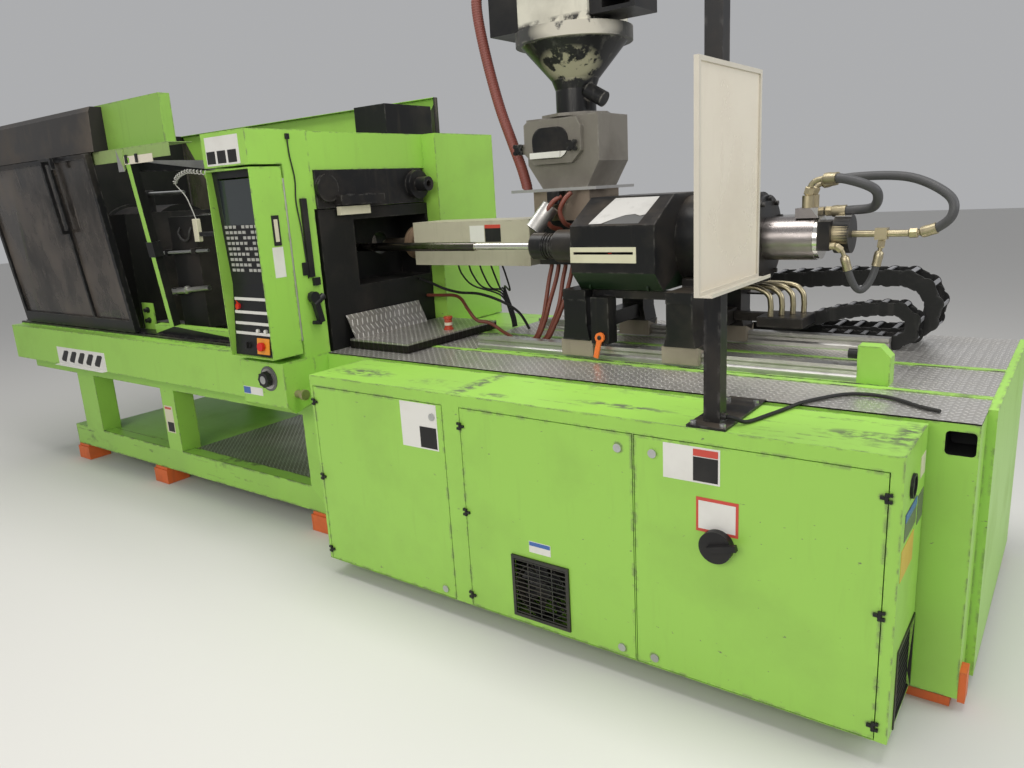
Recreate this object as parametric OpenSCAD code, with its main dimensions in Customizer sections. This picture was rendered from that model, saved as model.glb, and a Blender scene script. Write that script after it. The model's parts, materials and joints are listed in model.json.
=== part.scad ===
/* [Bed and deck] */
// Height of the deck over the floor
deck_h = 900; // [850:10:1000]
// Height of the mounts under the clamp unit
foot_h = 100; // [80:5:140]
// Underside of the injection base over the floor
base_low = 45; // [40:5:80]
// Depth of the injection base from front to rear
base_d = 1260; // [1200:10:1400]
// Injection base past the right end of the cabinet
base_over = 125; // [60:5:200]
// Thickness of the cover on the right end
end_t = 25; // [20:1:40]
// Thickness of the rear covers
cover_t = 35; // [20:5:50]
// Sheet steel of covers and boxes
sheet = 3; // [2:0.5:5]
// Thickness of the treadplate
tread_t = 5; // [3:1:8]
// Depth of the front walkway
walk_d = 275; // [220:5:300]

/* [Cabinet] */
// Length of the electric cabinet
cab_l = 2262; // [2000:10:2400]
// Depth of the cabinet
cab_d = 320; // [280:5:340]
// Underside of the cabinet over the floor
cab_low = 70; // [50:5:100]
// Strip of the cabinet over the doors
door_head = 47; // [40:1:80]
// Width of the middle door
door_w2 = 688; // [600:2:720]
// Width of the right door
door_w3 = 718; // [600:2:730]
// Gap round each door
door_gap = 3; // [2:0.5:5]
// Diameter of the fan
fan_d = 200; // [150:5:230]
// Diameter of the main switch handle
switch_d = 100; // [80:2:120]

/* [Clamp unit] */
// From the fixed platen's outer face to the left end of the cabinet
cab_set = 288; // [260:2:320]
// From the fixed platen's outer face to the left end of the machine
clamp_l = 2990; // [2850:10:3200]
// Thickness of the fixed platen
platen_t = 300; // [250:10:350]
// Width of both platens
platen_w = 1150; // [1000:10:1200]
// Height of both platens
platen_h = 660; // [600:10:680]
// Thickness of the moving platen
moving_t = 250; // [200:10:300]
// Daylight between the platens as shown
daylight = 750; // [600:10:800]
// Mould locating bore
locate_d = 125; // [100:5:160]
// Diameter of the clamp ram
ram_d = 400; // [300:10:440]
// Diameter of the ejector rod
eject_d = 50; // [30:2:60]
// Length of the sliding gate
gate_l = 1390; // [1300:10:1420]
// Height of the gate opening
gate_h = 940; // [880:10:960]
// Lean of the gate towards the operator
gate_tilt = 6.3; // [3:0.1:8]
// Height of the green covers over the deck
cover_up = 1005; // [960:5:1040]
// Height of the dark hood over the top gate rail
hood_up = 228; // [200:2:260]
// Depth of the dark hood
hood_d = 80; // [60:5:120]
// Length of the clamp ram
ram_l = 1150; // [1050:10:1200]
// Length of the ram that shows outside the clamp cylinder
ram_show = 500; // [470:10:560]

/* [Injection unit] */
// Height of the injection axis over the deck
axis_up = 465; // [455:5:500]
// Distance between the two guide rails
rail_gap = 500; // [440:10:560]
// Width of a guide rail
rail_w = 45; // [35:1:55]
// Height of a guide rail
rail_h = 55; // [45:1:65]
// Running clearance of the guide blocks
slide_gap = 0.5; // [0.3:0.1:1]
// Diameter of the injection cylinder
inj_d = 348; // [300:4:380]
// Length of the injection cylinder
inj_cyl_l = 280; // [260:10:320]
// Diameter of the rear cylinder
rear_d = 160; // [120:4:200]
// Diameter of the traverse rod
rod_d = 30; // [20:2:40]
// Diameter of the barrel
barrel_d = 124; // [100:2:140]
// Diameter of the screw
screw_d = 50; // [35:1:60]
// Clearance round pistons, rods and the screw
bore_gap = 0.5; // [0.3:0.1:0.8]
// Hopper funnel across the top
hopper_d = 440; // [360:10:460]
// Height of the hopper's funnel
funnel_h = 276; // [250:2:300]
// Height of the hopper's square body
hopper_body = 278; // [240:2:320]
// Width of the rear energy chain
chain_w = 150; // [100:10:180]

/* [Console and mast] */
// Width of the operator console
console_w = 316; // [280:4:340]
// Height of the swinging console housing
console_h = 830; // [800:5:850]
// Whiteboard width
board_w = 450; // [400:10:500]
// Whiteboard height
board_h = 590; // [500:10:650]
// Square tube of the mast
mast_s = 50; // [40:5:60]
// Height of the mast over the deck
mast_l = 1400; // [1300:10:1500]

/* [Hidden] */
$fn = 48;
green = [0.48, 0.85, 0.22];
dark = [0.12, 0.12, 0.12];
steel = [0.72, 0.72, 0.7];
// Small lift that keeps pieces of different bodies apart
part_gap = 0.3;

// The machine's own axes: x = 0 at the cabinet's right end, y = 0 at its front
px = -(cab_l + cab_set);
left_x = px - clamp_l;
right_x = base_over + end_t;
axis_h = deck_h + axis_up;
cover_h = deck_h + cover_up;
mast_h = deck_h + mast_l;
base_y = cab_d + 30;
base_back = base_y + base_d;
rear_y = base_back + cover_t;
axis_y = base_y + 615;
frame_y = 270;
beam_y = 165;
beam_low = deck_h - 215;
frame_top = deck_h;

// Rails and carriage
rail_y1 = axis_y - rail_gap / 2;
rail_y2 = axis_y + rail_gap / 2;
rail_x0 = px + 640;
rail_x1 = px + 2274;
rail_top = deck_h + tread_t + rail_h;
block_l = 150;
block_h = 60;
block_z = deck_h + tread_t + 12;
block_top = block_z + block_h + 8;
block_x1 = px + 1114;
block_x2 = px + 1570;
housing_x0 = px + 1206;
housing_x1 = px + 1570;
cyl_x1 = housing_x1 + inj_cyl_l;
trav_y = axis_y - 275;
trav_x0 = housing_x0 - 216;
barrel_x0 = px + 110;
barrel_x1 = housing_x0 + 20;
feed_x = px + 1000;
throat_z = axis_h + 247;
throat_top = throat_z + 270;
band_z = throat_top + 12 + funnel_h;
body_z = band_z + 52;
hopper_h = body_z + hopper_body;
loader_z = body_z + 208;

// Clamp side
platen_x = px - platen_t;
moving_x = platen_x - daylight;
ram_x0 = moving_x - moving_t - ram_l;
clamp_face = moving_x - moving_t - ram_show;
platen_z = deck_h;
drive_z = platen_z + platen_h + 5;
gate_z = deck_h + 30;
gate_y = frame_y;
gate_x1 = platen_x - 1210;
gate_t = 35;
hood_z = gate_z + gate_h + 52;
hood_h = hood_z + hood_up;
hood_y = 150;
hood_x1 = gate_x1 + 60;

// Console
con_x1 = px;
con_x0 = px - console_w;
con_y = 50;
con_back = 215;
post_y = 222;
post_d = 148;
con_z = deck_h + 25;
con_top = con_z + console_h;
kink_z = con_z + 325;

// Doors: left edge and width of each, with the strips of the cabinet between them
door_z = cab_low + 5;
door_h = deck_h - door_head - door_z;
door_t = 22;
strip_l = 18;
strip_r = 35;
pillar_w = 86;
mullion_w = 9;
door_x3 = -strip_r - door_w3;
door_x2 = door_x3 - mullion_w - door_w2;
door_x = [-cab_l + strip_l, door_x2, door_x3];
door_w = [door_x2 - pillar_w + cab_l - strip_l, door_w2, door_w3];

// Mast cable route over the walkway, in machine axes
cable_r = 6;
cable_route = [
    [-487, 70, 925], [-472, 70, 925], [-458, 74, 920], [-444, 90, 910], [-430, 120, 907], [-415, 170, 907],
    [-396, 235, 907], [-376, 300, 908], [-357, 345, 912], [-330, 400, 912], [-295, 460, 912],
    [-255, 505, 912], [-205, 522, 912], [-150, 515, 912], [-105, 490, 912], [-60, 455, 912],
    [-20, 430, 912], [14, 415, 912]
];

module block(x0, x1, y0, y1, z0, z1) translate([x0, y0, z0]) cube([x1 - x0, y1 - y0, z1 - z0]);
module rod_x(x0, x1, y, z, r) translate([x0, y, z]) rotate([0, 90, 0]) cylinder(h = x1 - x0, r = r);
module rod_y(y0, y1, x, z, r) translate([x, y0, z]) rotate([-90, 0, 0]) cylinder(h = y1 - y0, r = r);
module rod_z(z0, z1, x, y, r) translate([x, y, z0]) cylinder(h = z1 - z0, r = r);
// Outline in y and z, drawn along x
module prism_x(x0, x1, pts) translate([x0, 0, 0]) rotate([90, 0, 90]) linear_extrude(x1 - x0) polygon(pts);
// Outline in x and z, drawn along y
module prism_y(y0, y1, pts) translate([0, y1, 0]) rotate([90, 0, 0]) linear_extrude(y1 - y0) polygon(pts);
// Box of sheet with one side left open: "down" or "left"
module shell(x0, x1, y0, y1, z0, z1, t, open) {
    difference() {
        block(x0, x1, y0, y1, z0, z1);
        block(open == "left" ? x0 - 1 : x0 + t, x1 - t, y0 + t, y1 - t, open == "down" ? z0 - 1 : z0 + t, z1 - t);
    }
}
// Rounded plate in x and z, drawn along y
module round_plate(x0, x1, y0, y1, z0, z1, r) {
    union() {
        block(x0 + r, x1 - r, y0, y1, z0, z1);
        block(x0, x1, y0, y1, z0 + r, z1 - r);
        for (x = [x0 + r, x1 - r], z = [z0 + r, z1 - r]) rod_y(y0, y1, x, z, r);
    }
}
// Tube swept along a route, eight to twelve sides
function unit(v) = v / norm(v);
function heading(p, i) = unit(p[min(i + 1, len(p) - 1)] - p[max(i - 1, 0)]);
function side_of(t) = unit(cross(t, abs(t[2]) > 0.9 ? [0, 1, 0] : [0, 0, 1]));
function ring(c, t, r, n) =
    let (a = side_of(t), b = cross(t, a)) [for (k = [0:n - 1]) c + r * (cos(360 * k / n) * a + sin(360 * k / n) * b)];
module tube(p, r, n) {
    points = [for (i = [0:len(p) - 1]) each ring(p[i], heading(p, i), r, n)];
    last = (len(p) - 1) * n;
    faces = concat(
        [[for (k = [0:n - 1]) k]],
        [for (i = [0:len(p) - 2], k = [0:n - 1])
            [i * n + k, (i + 1) * n + k, (i + 1) * n + (k + 1) % n, i * n + (k + 1) % n]],
        [[for (k = [n - 1:-1:0]) last + k]]
    );
    polyhedron(points = points, faces = faces);
}
// Smooth route through a few held points, s steps to a span; both ends leave straight
function smooth_at(a, b, c, d, t) =
    0.5 * (2 * b + (c - a) * t + (2 * a - 5 * b + 4 * c - d) * t * t + (3 * b - a - 3 * c + d) * t * t * t);
function smooth(p, s = 3) = [
    for (i = [0:len(p) - 2], k = [0:s - 1])
        smooth_at(p[max(i - 1, 0)], p[i], p[i + 1], p[min(i + 2, len(p) - 1)], k / s),
    p[len(p) - 1]
];
function inner(p) = [for (i = [1:len(p) - 2]) p[i]];
module hose(p, r, n, s = 2) tube(concat([p[0]], smooth(inner(p), s), [p[len(p) - 1]]), r, n);

// Welded frame of the clamp unit: beam, side girders, legs, rails and deck with the drop chute
chute_x0 = moving_x + 60;
chute_x1 = platen_x - 40;
leg_x = [px - 2413, px - 1416, px - 140];
leg_w = [213, 136, 140];
module clamp_frame() color(green) {
    difference() {
        union() {
            prism_x(left_x, con_x0 - 4, [
                [beam_y, beam_low], [beam_y, deck_h + 5], [frame_y, deck_h + 5], [frame_y, deck_h - 3],
                [beam_y + 8, deck_h - 3], [beam_y + 8, beam_low + 8], [frame_y, beam_low + 8],
                [frame_y, beam_low]
            ]);
            for (y = [frame_y, base_back - 40]) block(left_x, px, y, y + 40, deck_h - 300, frame_top - 20);
            block(left_x, px, frame_y, base_back, frame_top - 20, frame_top);
            for (x = [left_x, px - 20]) block(x, x + 20, frame_y, base_back, deck_h - 300, frame_top);
            for (i = [0:2], y = [frame_y, base_back - 120])
                block(leg_x[i], leg_x[i] + leg_w[i], y, y + 120, foot_h, deck_h - 300);
            for (y = [frame_y, base_back - 80]) block(leg_x[0] - 159, px, y, y + 80, foot_h, foot_h + 132);
            for (i = [0:2]) block(leg_x[i], leg_x[i] + leg_w[i], frame_y, base_back, foot_h, foot_h + 80);
            block(leg_x[0], leg_x[1] + leg_w[1], frame_y, base_back, foot_h + 110, foot_h + 120);
            for (x = [leg_x[1] + leg_w[1] + 100, leg_x[2] - 160]) block(x, x + 60, frame_y, base_back, foot_h, foot_h + 122);
        }
        block(chute_x0, chute_x1, axis_y - 350, axis_y + 350, frame_top - 30, frame_top + 1);
    }
}

// Injection base: welded box with a rounded port at its front and rail beds on top
port_x = base_over - 46;
port_z = deck_h - 58;
module injection_base() color(green) {
    difference() {
        block(px, base_over, base_y, base_back, base_low, deck_h);
        round_plate(port_x - 39, port_x + 39, base_y - 1, base_y + 120, port_z - 35, port_z + 35, 12);
    }
    for (y = [base_y + walk_d, rail_y2 - 206]) block(px, base_over, y, y + 32, deck_h, deck_h + tread_t + 3);
    block(rail_x0, stop_x1, rail_y1 - 32, rail_y1 + 32, deck_h, deck_h + tread_t);
    block(rail_x0, rail_x1, rail_y2 - 32, rail_y2 + 32, deck_h, deck_h + tread_t);
}

// Wedge mounts under the clamp unit and the injection base, with the jacking plate at the right end
module levelling_feet() color([0.85, 0.3, 0.12]) {
    for (x = [leg_x[0] - 154, leg_x[1] - 194, px - 150], y = [frame_y - 15, base_back - 140]) wedge_mount(x, y, foot_h);
    for (x = [px + 900, base_over - 160], y = [base_y + 20, base_back - 180]) wedge_mount(x, y, base_low);
    block(base_over, base_over + 20, base_y + 10, base_y + 75, 30, 130);
}
module wedge_mount(x, y, h) {
    block(x, x + 140, y, y + 140, 0, h - 15);
    block(x + 8, x + 132, y + 8, y + 132, h - 15, h);
}

// Loose sheets of treadplate on the deck and on the floor of the right bay
module tread_plates() color(steel) {
    block(px + 10, base_over, base_y, base_y + walk_d, deck_h, deck_h + tread_t);
    block(px + 10, rail_x0, base_y + walk_d + 32, rail_y2 - 206, deck_h, deck_h + tread_t);
    block(rail_x0, base_over, rail_y1 + 32, rail_y2 - 206, deck_h, deck_h + tread_t);
    block(stop_x1, base_over, base_y + walk_d + 32, rail_y1 + 32, deck_h, deck_h + tread_t);
    block(px + 500, rail_x0, rail_y2 - 174, base_back, deck_h, deck_h + tread_t);
    block(rail_x0, base_over, rail_y2 + 32, base_back, deck_h, deck_h + tread_t);
    block(rail_x0, rail_x1, rail_y2 - 174, rail_y2 - 32, deck_h, deck_h + tread_t);
    block(rail_x1, base_over, rail_y2 - 174, rail_y2 + 32, deck_h, deck_h + tread_t);
    block(leg_x[1] + leg_w[1], leg_x[2], frame_y + 80, base_back - 80, foot_h + 122, foot_h + 122 + tread_t);
}
// Raised step of folded treadplate, with a leaning kick plate at the platen
step_x1 = px + 420;
step_top = deck_h + 50;
module step_plate() color(steel) {
    difference() {
        block(px + 40, step_x1, base_y + 113, axis_y + 160, deck_h + tread_t + 3 + part_gap, step_top);
        block(px + 39, step_x1 - sheet, base_y + 113 + sheet, axis_y + 160 - sheet, deck_h, step_top - sheet);
        translate([px + 300, base_y + 100, deck_h]) rotate([0, 0, -24]) block(0, 300, -200, 0, 0, 60);
    }
    prism_y(base_y + 130, base_y + 640, [
        [px + 60, step_top], [px + 64, step_top], [px + 12, step_top + 110], [px + 8, step_top + 110]
    ]);
}

// End cover panels and rear access panels of the base
module end_covers() color(green) {
    shell(base_over, right_x, base_y + 150, base_back, base_low, deck_h + 8, sheet, "left");
    for (x = [px + 60, px + 920, px + 1780])
        shell_back(x, x + 820, base_back, rear_y, base_low + 60, deck_h - 60);
}
module shell_back(x0, x1, y0, y1, z0, z1) {
    difference() {
        block(x0, x1, y0, y1, z0, z1);
        block(x0 + sheet, x1 - sheet, y0 - 1, y1 - sheet, z0 + sheet, z1 - sheet);
        for (k = [0:5]) block(x0 + 560, x0 + 720, y1 - sheet - 1, y1 + 1, z1 - 200 + k * 20, z1 - 192 + k * 20);
    }
}

// Grid of tapped mounting holes in a platen face
module tapped_grid(x) for (y = [-420:140:420], z = [90, 230, 500, 600])
    if (abs(y) > 150 || z < 100 || z > 550) rod_x(x - 1, x + 41, axis_y + y, platen_z + z, 9);
module fixed_platen() color(dark) {
    difference() {
        block(platen_x, px, axis_y - platen_w / 2, axis_y + platen_w / 2, platen_z, platen_z + platen_h);
        block(platen_x + 90, px + 1, trav_y - 90, axis_y + 150, axis_h - 175, axis_h + 140);
        rod_x(platen_x - 1, platen_x + 30, axis_y, axis_h, locate_d / 2);
        rod_x(platen_x - 1, px, axis_y, axis_h, 58);
        tapped_grid(platen_x);
    }
    rod_x(platen_x + 88, platen_x + 120, trav_y, axis_h, 60);
}
module platen_rails() color(steel) {
    for (y = [axis_y - 400, axis_y + 400])
        block(clamp_face, platen_x, y - 35, y + 35, deck_h, deck_h + 30);
}

// Rear head and cylinder of the hydraulic clamp
module clamp_cylinder() color([0.2, 0.2, 0.2]) {
    difference() {
        union() {
            block(clamp_face - 260, clamp_face, axis_y - 525, axis_y + 525, deck_h, deck_h + 690);
            rod_x(clamp_face - 840, clamp_face - 250, axis_y, axis_h, ram_d / 2 + 70);
            rod_x(clamp_face - 870, clamp_face - 840, axis_y, axis_h, ram_d / 2 + 90);
        }
        rod_x(clamp_face - 780, clamp_face + 1, axis_y, axis_h, ram_d / 2 + bore_gap);
    }
    for (a = [0:30:330])
        rod_x(clamp_face - 888, clamp_face - 870, axis_y + (ram_d / 2 + 75) * cos(a), axis_h + (ram_d / 2 + 75) * sin(a), 12);
}
module moving_platen() color([0.1, 0.1, 0.1]) {
    z0 = deck_h + 30 + part_gap;
    difference() {
        union() {
            block(moving_x - moving_t, moving_x, axis_y - platen_w / 2 + 30, axis_y + platen_w / 2 - 30,
                z0 + 20, platen_z + platen_h);
            for (y = [axis_y - 400, axis_y + 400]) {
                block(moving_x - moving_t - 60, moving_x - 20, y - 60, y + 60, z0, z0 + 21);
                for (s = [-55, 40]) block(moving_x - moving_t - 60, moving_x - 20, y + s, y + s + 15, z0 - 22, z0 + 1);
            }
        }
        rod_x(moving_x - 30, moving_x + 1, axis_y, axis_h, locate_d / 2);
        rod_x(moving_x - moving_t - 1, moving_x, axis_y, axis_h, eject_d / 2 + bore_gap);
        for (s = [-1, 1]) rod_x(moving_x - 120, moving_x + 1, axis_y + s * 190, axis_h, 25);
        translate([moving_x, 0, 0]) mirror([1, 0, 0]) tapped_grid(0);
    }
}
module clamp_ram() color(steel) {
    x1 = moving_x - moving_t;
    difference() {
        union() {
            rod_x(ram_x0, x1 - 40, axis_y, axis_h, ram_d / 2);
            rod_x(x1 - 40, x1, axis_y, axis_h, ram_d / 2 + 50);
        }
        rod_x(x1 - 320, x1 + 1, axis_y, axis_h, 120);
    }
}
module ejector() color(steel) {
    x1 = moving_x - moving_t;
    rod_x(x1 - 200, moving_x - 35, axis_y, axis_h, eject_d / 2);
    rod_x(x1 - 240, x1 - 200, axis_y, axis_h, 90);
}

// Drive block over the fixed platen, with flange and socket stub
module platen_drive() color(dark) {
    z1 = cover_h - 168;
    block(platen_x + 20, px + 10, axis_y - 581, axis_y + 131, drive_z, z1);
    rod_x(px + 10, px + 40, axis_y + 75, drive_z + 90, 72);
    difference() {
        rod_x(px + 40, px + 105, axis_y + 75, drive_z + 90, 36);
        translate([px + 80, axis_y + 75, drive_z + 90]) rotate([0, 90, 0]) cylinder(h = 30, r = 18, $fn = 6);
    }
    rod_x(px + 10, px + 26, axis_y - 520, drive_z + 90, 62);
    block(px + 10, px + 60, axis_y - 480, axis_y - 200, drive_z + 10, drive_z + 55);
    block(px + 10, px + 36, axis_y - 470, axis_y - 280, drive_z - 35, drive_z + 4);
}
// Green covers over the platen and the tall box behind it
module platen_cover() color(green) {
    block(platen_x - 20, px, post_y + post_d, axis_y + 162, cover_h - 168, cover_h);
    block(platen_x - 20, px, post_y + post_d, axis_y - 581, drive_z, cover_h - 168);
    block(px + part_gap, px + 90, axis_y + 162, base_back, deck_h + tread_t, cover_h);
    block(platen_x - 20, px + 1, axis_y + platen_w / 2 + part_gap, base_back, deck_h, cover_h);
    block(platen_x - 20, px + 1, axis_y + 162, base_back, platen_z + platen_h + part_gap, cover_h);
    color(dark) block(platen_x + 60, px - 20, axis_y - 65, axis_y + 275, cover_h, cover_h + 145);
}

// Guards at the back and left end of the clamp unit
module rear_covers() color(green) {
    difference() {
        block(left_x, platen_x - 20, base_back, rear_y, deck_h + 5, hood_h);
        block(left_x + sheet, platen_x - 20 - sheet, base_back - 1, rear_y - sheet, deck_h + 8, hood_h - sheet);
        for (x = [left_x + 250, left_x + 1480]) block(x, x + 900, base_back - 1, rear_y + 1, deck_h + 300, deck_h + 900);
    }
    for (x = [left_x + 250, left_x + 1480]) color([0.2, 0.2, 0.22])
        block(x - 20, x + 920, rear_y - sheet - 6, rear_y - sheet, deck_h + 280, deck_h + 920);
    block(left_x, left_x + 30, frame_y + 70, base_back, deck_h, hood_h);
}

// Places pieces on the leaning plane of the gate
module on_gate() translate([0, gate_y, gate_z]) rotate([gate_tilt, 0, 0]) children();
module gate_frame() {
    gx1 = con_x0 - 6;
    color(dark) on_gate() difference() {
        block(left_x, gx1, -40, 60, -20, -4);
        block(left_x - 1, gx1 + 1, -26, -10, -10, 0);
    }
    color(green) {
        on_gate() block(gate_x1 + 150, gx1, 8, 50, -4, 46);
        on_gate() block(gate_x1 + 310, gate_x1 + 350, 8, 50, 46, gate_h + 6);
        block(left_x + 10, gx1 - 10, frame_y - 45, frame_y + 60, deck_h + 5, deck_h + 12);
        rail_channel(px - 785);
    }
    color(dark) on_gate() block(gate_x1 + 300, gate_x1 + 362, 4, 54, gate_h / 2 - 40, gate_h / 2 + 40);
    color(steel) block(gate_x1 + 240, gate_x1 + 300, frame_y - 98, 700, cover_h - 68, cover_h - 45);
    color(dark) block(gate_x1 + 240, gate_x1 + 300, frame_y - 98, 700, cover_h - 100, cover_h - 68);
    color(dark) block(gate_x1 + 240, gate_x1 + 300, frame_y - 98, frame_y - 60, cover_h - 45, hood_z - sheet);
}
// Channel that covers the upper gate rail
channel_y = hood_y + 30;
module rail_channel(x1) {
    z0 = hood_z - 66;
    prism_x(left_x, x1, [
        [channel_y, z0], [channel_y, hood_z], [channel_y + 130, hood_z], [channel_y + 130, hood_z - sheet],
        [channel_y + sheet, hood_z - sheet], [channel_y + sheet, z0]
    ]);
}
// Sliding gate: dark frame with a middle bar and a pull handle
module gate_door() color(dark) on_gate() {
    x0 = gate_x1 - gate_l;
    top = gate_h + 55;
    difference() {
        block(x0, gate_x1, -gate_t, 0, 0.5, top);
        for (x = [x0 + 28, gate_x1 - 430]) {
            w = x == x0 + 28 ? gate_l - 478 : 402;
            block(x, x + w, -gate_t - 1, 1, 70, top - 24);
        }
    }
    for (z = [top - 420, top - 32]) block(gate_x1 - 450, gate_x1 - 430, -gate_t - 20, -gate_t, z, z + 20);
    block(gate_x1 - 450, gate_x1 - 430, -gate_t - 40, -gate_t - 20, top - 420, top - 12);
    block(gate_x1 - 450, gate_x1 - 320, -gate_t - 40, -gate_t - 20, top - 12, top + 4);
    block(gate_x1 - 336, gate_x1 - 320, -gate_t - 40, -gate_t - 20, top - 60, top - 12);
    for (x = [x0 + 200, gate_x1 - 200]) block(x, x + 60, -gate_t / 2 - 5, -gate_t / 2 + 4, -10 + part_gap, 1);
}
module gate_panes() color([0.25, 0.24, 0.24, 0.6]) on_gate() {
    x0 = gate_x1 - gate_l;
    top = gate_h + 55;
    block(x0 + 28, x0 + gate_l - 450, -gate_t / 2 - 3, -gate_t / 2 + 3, 70, top - 24);
    block(gate_x1 - 430, gate_x1 - 28, -gate_t / 2 - 3, -gate_t / 2 + 3, 70, top - 24);
}
// Dark sheet hood over the upper gate rail, bent at its front edge
module hood() color([0.24, 0.23, 0.22]) {
    y1 = hood_y + hood_d;
    difference() {
        prism_x(left_x, hood_x1, [
            [hood_y, hood_z], [hood_y + 8, hood_h - 25], [hood_y + 20, hood_h], [y1, hood_h], [y1, hood_z]
        ]);
        prism_x(left_x + sheet, hood_x1 - sheet, [
            [hood_y + sheet, hood_z - 1], [hood_y + 8 + sheet, hood_h - 25], [hood_y + 20 + sheet, hood_h - sheet],
            [y1 - sheet, hood_h - sheet], [y1 - sheet, hood_z - 1]
        ]);
    }
}
// Upright green panel beside and behind the hood, open towards the clamp
module upper_box() color(green) {
    y0 = hood_y + hood_d;
    difference() {
        block(hood_x1 - 300, hood_x1 + 560, y0, y0 + 60, hood_z, hood_h + 10);
        block(hood_x1 - 301, hood_x1 + 560 - sheet, y0 + sheet, y0 + 61, hood_z + sheet, hood_h + 10 - sheet);
    }
}

// Fixed post beside the console, with the box over it and the hinge of the console
swing_x = con_x1 - 4;
swing_y = post_y - 3.5;
module console_post() color(green) {
    block(con_x0, con_x1, post_y, post_y + post_d, deck_h, cover_h + 5);
    block(con_x0, con_x1, con_y, post_y, con_top + 10, cover_h + 5);
    color(dark) block(con_x1, con_x1 + 14, post_y + 70, post_y + 100, con_z + 340, con_z + 690);
    color(dark) block(con_x1, con_x1 + 12, post_y + 90, post_y + 128, con_z + 300, con_z + 335);
    rod_z(con_z + 60, con_z + 780, swing_x, swing_y, 3);
    block(swing_x - 3, swing_x + 3, swing_y, post_y + 1, con_z + 60, con_z + 780);
}
// Swinging console: two cheeks, back and top round a recessed panel
module console_housing() color(green) {
    z1 = con_top;
    union() {
        for (x = [con_x0, con_x1 - 8]) block(x, x + 4, con_y, con_back, con_z, z1);
        block(con_x0, con_x1 - 4, con_back - 4, con_back, con_z, z1);
        block(con_x0, con_x1 - 4, con_y, con_back, z1 - 6, z1);
        block(con_x0, con_x1 - 4, con_y, con_back, con_z, con_z + 4);
        color(dark) block(con_x1 - 4, con_x1 - 1, con_y + 82, con_y + 120, kink_z + 170, kink_z + 300);
    }
}
// Black panel in two leaning planes, with key rows, strips and lamps
module console_panel() color(dark) difference() {
    console_face();
    on_panel(stop_px, stop_pz) translate([0, 0, -30]) cylinder(h = 40, r = 11.5);
    on_panel(pick_px, stop_pz) translate([0, 0, -30]) cylinder(h = 40, r = 5.5);
}
module console_face() {
    x0 = con_x0 + 4.3;
    x1 = con_x1 - 8.3;
    z1 = con_top - 7;
    upper_dy = 27 / (z1 - kink_z);
    lower_dy = 32 / (kink_z - con_z - 5);
    difference() {
        prism_x(x0, x1, [
            [con_y + 24, con_z + 5], [con_y + 56, kink_z], [con_y + 29, z1],
            [con_y + 41, z1], [con_y + 68, kink_z], [con_y + 36, con_z + 5]
        ]);
        block(x0 + 30, x1 - 30, con_y + 20, con_y + 43, z1 - 230, z1 - 30);
    }
    color([0.7, 0.7, 0.68]) {
        for (r = [0:8], k = [0:7]) if (k != 3 + (r % 2) * 2) {
            z = kink_z + 60 + r * 24;
            y = con_y + 56 - upper_dy * (z - kink_z);
            block(x0 + 24 + k * 31, x0 + 46 + k * 31, y - 3, y + 3, z, z + 13);
        }
        for (z = [kink_z - 70, kink_z - 130, kink_z - 180, kink_z - 225]) {
            y = con_y + 56 - lower_dy * (kink_z - z);
            block(x0 + 12, x1 - 12, y - 3, y + 3, z, z + 13);
        }
        for (k = [0:1]) panel_button(x0 + 178 + k * 56, kink_z - 205, 9, 10);
    }
    color([0.8, 0.12, 0.1]) panel_button(x0 + 40, kink_z - 98, 13, 12);
    color([0.95, 0.5, 0.1]) panel_button(stop_px, stop_pz, 30, 3);
}
stop_px = con_x0 + 218;
stop_pz = con_z + 52;
pick_px = con_x0 + 110;
// Places a round piece square to the lower half of the panel
module on_panel(x, z) {
    lower_dy = 32 / (kink_z - con_z - 5);
    translate([x, con_y + 56 - lower_dy * (kink_z - z), z]) rotate([-atan(lower_dy), 0, 0]) rotate([90, 0, 0]) children();
}
module panel_button(x, z, r, h) on_panel(x, z) translate([0, 0, -2]) cylinder(h = h + 2, r = r, $fn = 24);
module e_stop() color([0.85, 0.1, 0.08]) on_panel(stop_px, stop_pz) {
    translate([0, 0, 12.3]) cylinder(h = 14, r = 20);
    translate([0, 0, -3]) cylinder(h = 16, r = 11);
}
module selector() color(dark) on_panel(pick_px, stop_pz) {
    translate([0, 0, 0.4]) cylinder(h = 8, r = 15);
    translate([0, 0, -8]) cylinder(h = 9, r = 5);
    translate([-3.5, -14, 8]) cube([7, 28, 12]);
}
// Box under the console with the flow knob
box_y = 90;
knob_x = con_x1 - 110;
knob_z = deck_h - 75;
module knob_box() {
    color(green) difference() {
        prism_x(con_x0 - 4, con_x1, [
            [box_y, deck_h - 205], [box_y, deck_h], [frame_y, deck_h], [frame_y, deck_h - 210],
            [box_y + 40, deck_h - 240]
        ]);
        prism_x(con_x0 - 1, con_x1 - 3, [
            [box_y + 3, deck_h - 203], [box_y + 3, deck_h - 3], [frame_y + 1, deck_h - 3],
            [frame_y + 1, deck_h - 207], [box_y + 41, deck_h - 236]
        ]);
        rod_y(box_y - 1, box_y + 4, knob_x, knob_z, 8.5);
    }
    color(steel) difference() {
        rod_y(box_y - 8, box_y, knob_x, knob_z, 48);
        rod_y(box_y - 9, box_y + 1, knob_x, knob_z, 8.5);
    }
    color(steel) rod_x(con_x1, con_x1 + 42, box_y + 60, deck_h - 150, 17);
    color(steel) rod_x(con_x1 + 42, con_x1 + 60, box_y + 60, deck_h - 150, 24);
}
module flow_knob() color(dark) {
    rod_y(box_y - 10, box_y + 10, knob_x, knob_z, 8);
    rod_y(box_y - 36, box_y - 8.5, knob_x, knob_z, 33);
    for (a = [0:45:315]) rod_y(box_y - 36, box_y - 8.5, knob_x + 31 * cos(a), knob_z + 31 * sin(a), 6);
}
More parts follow.
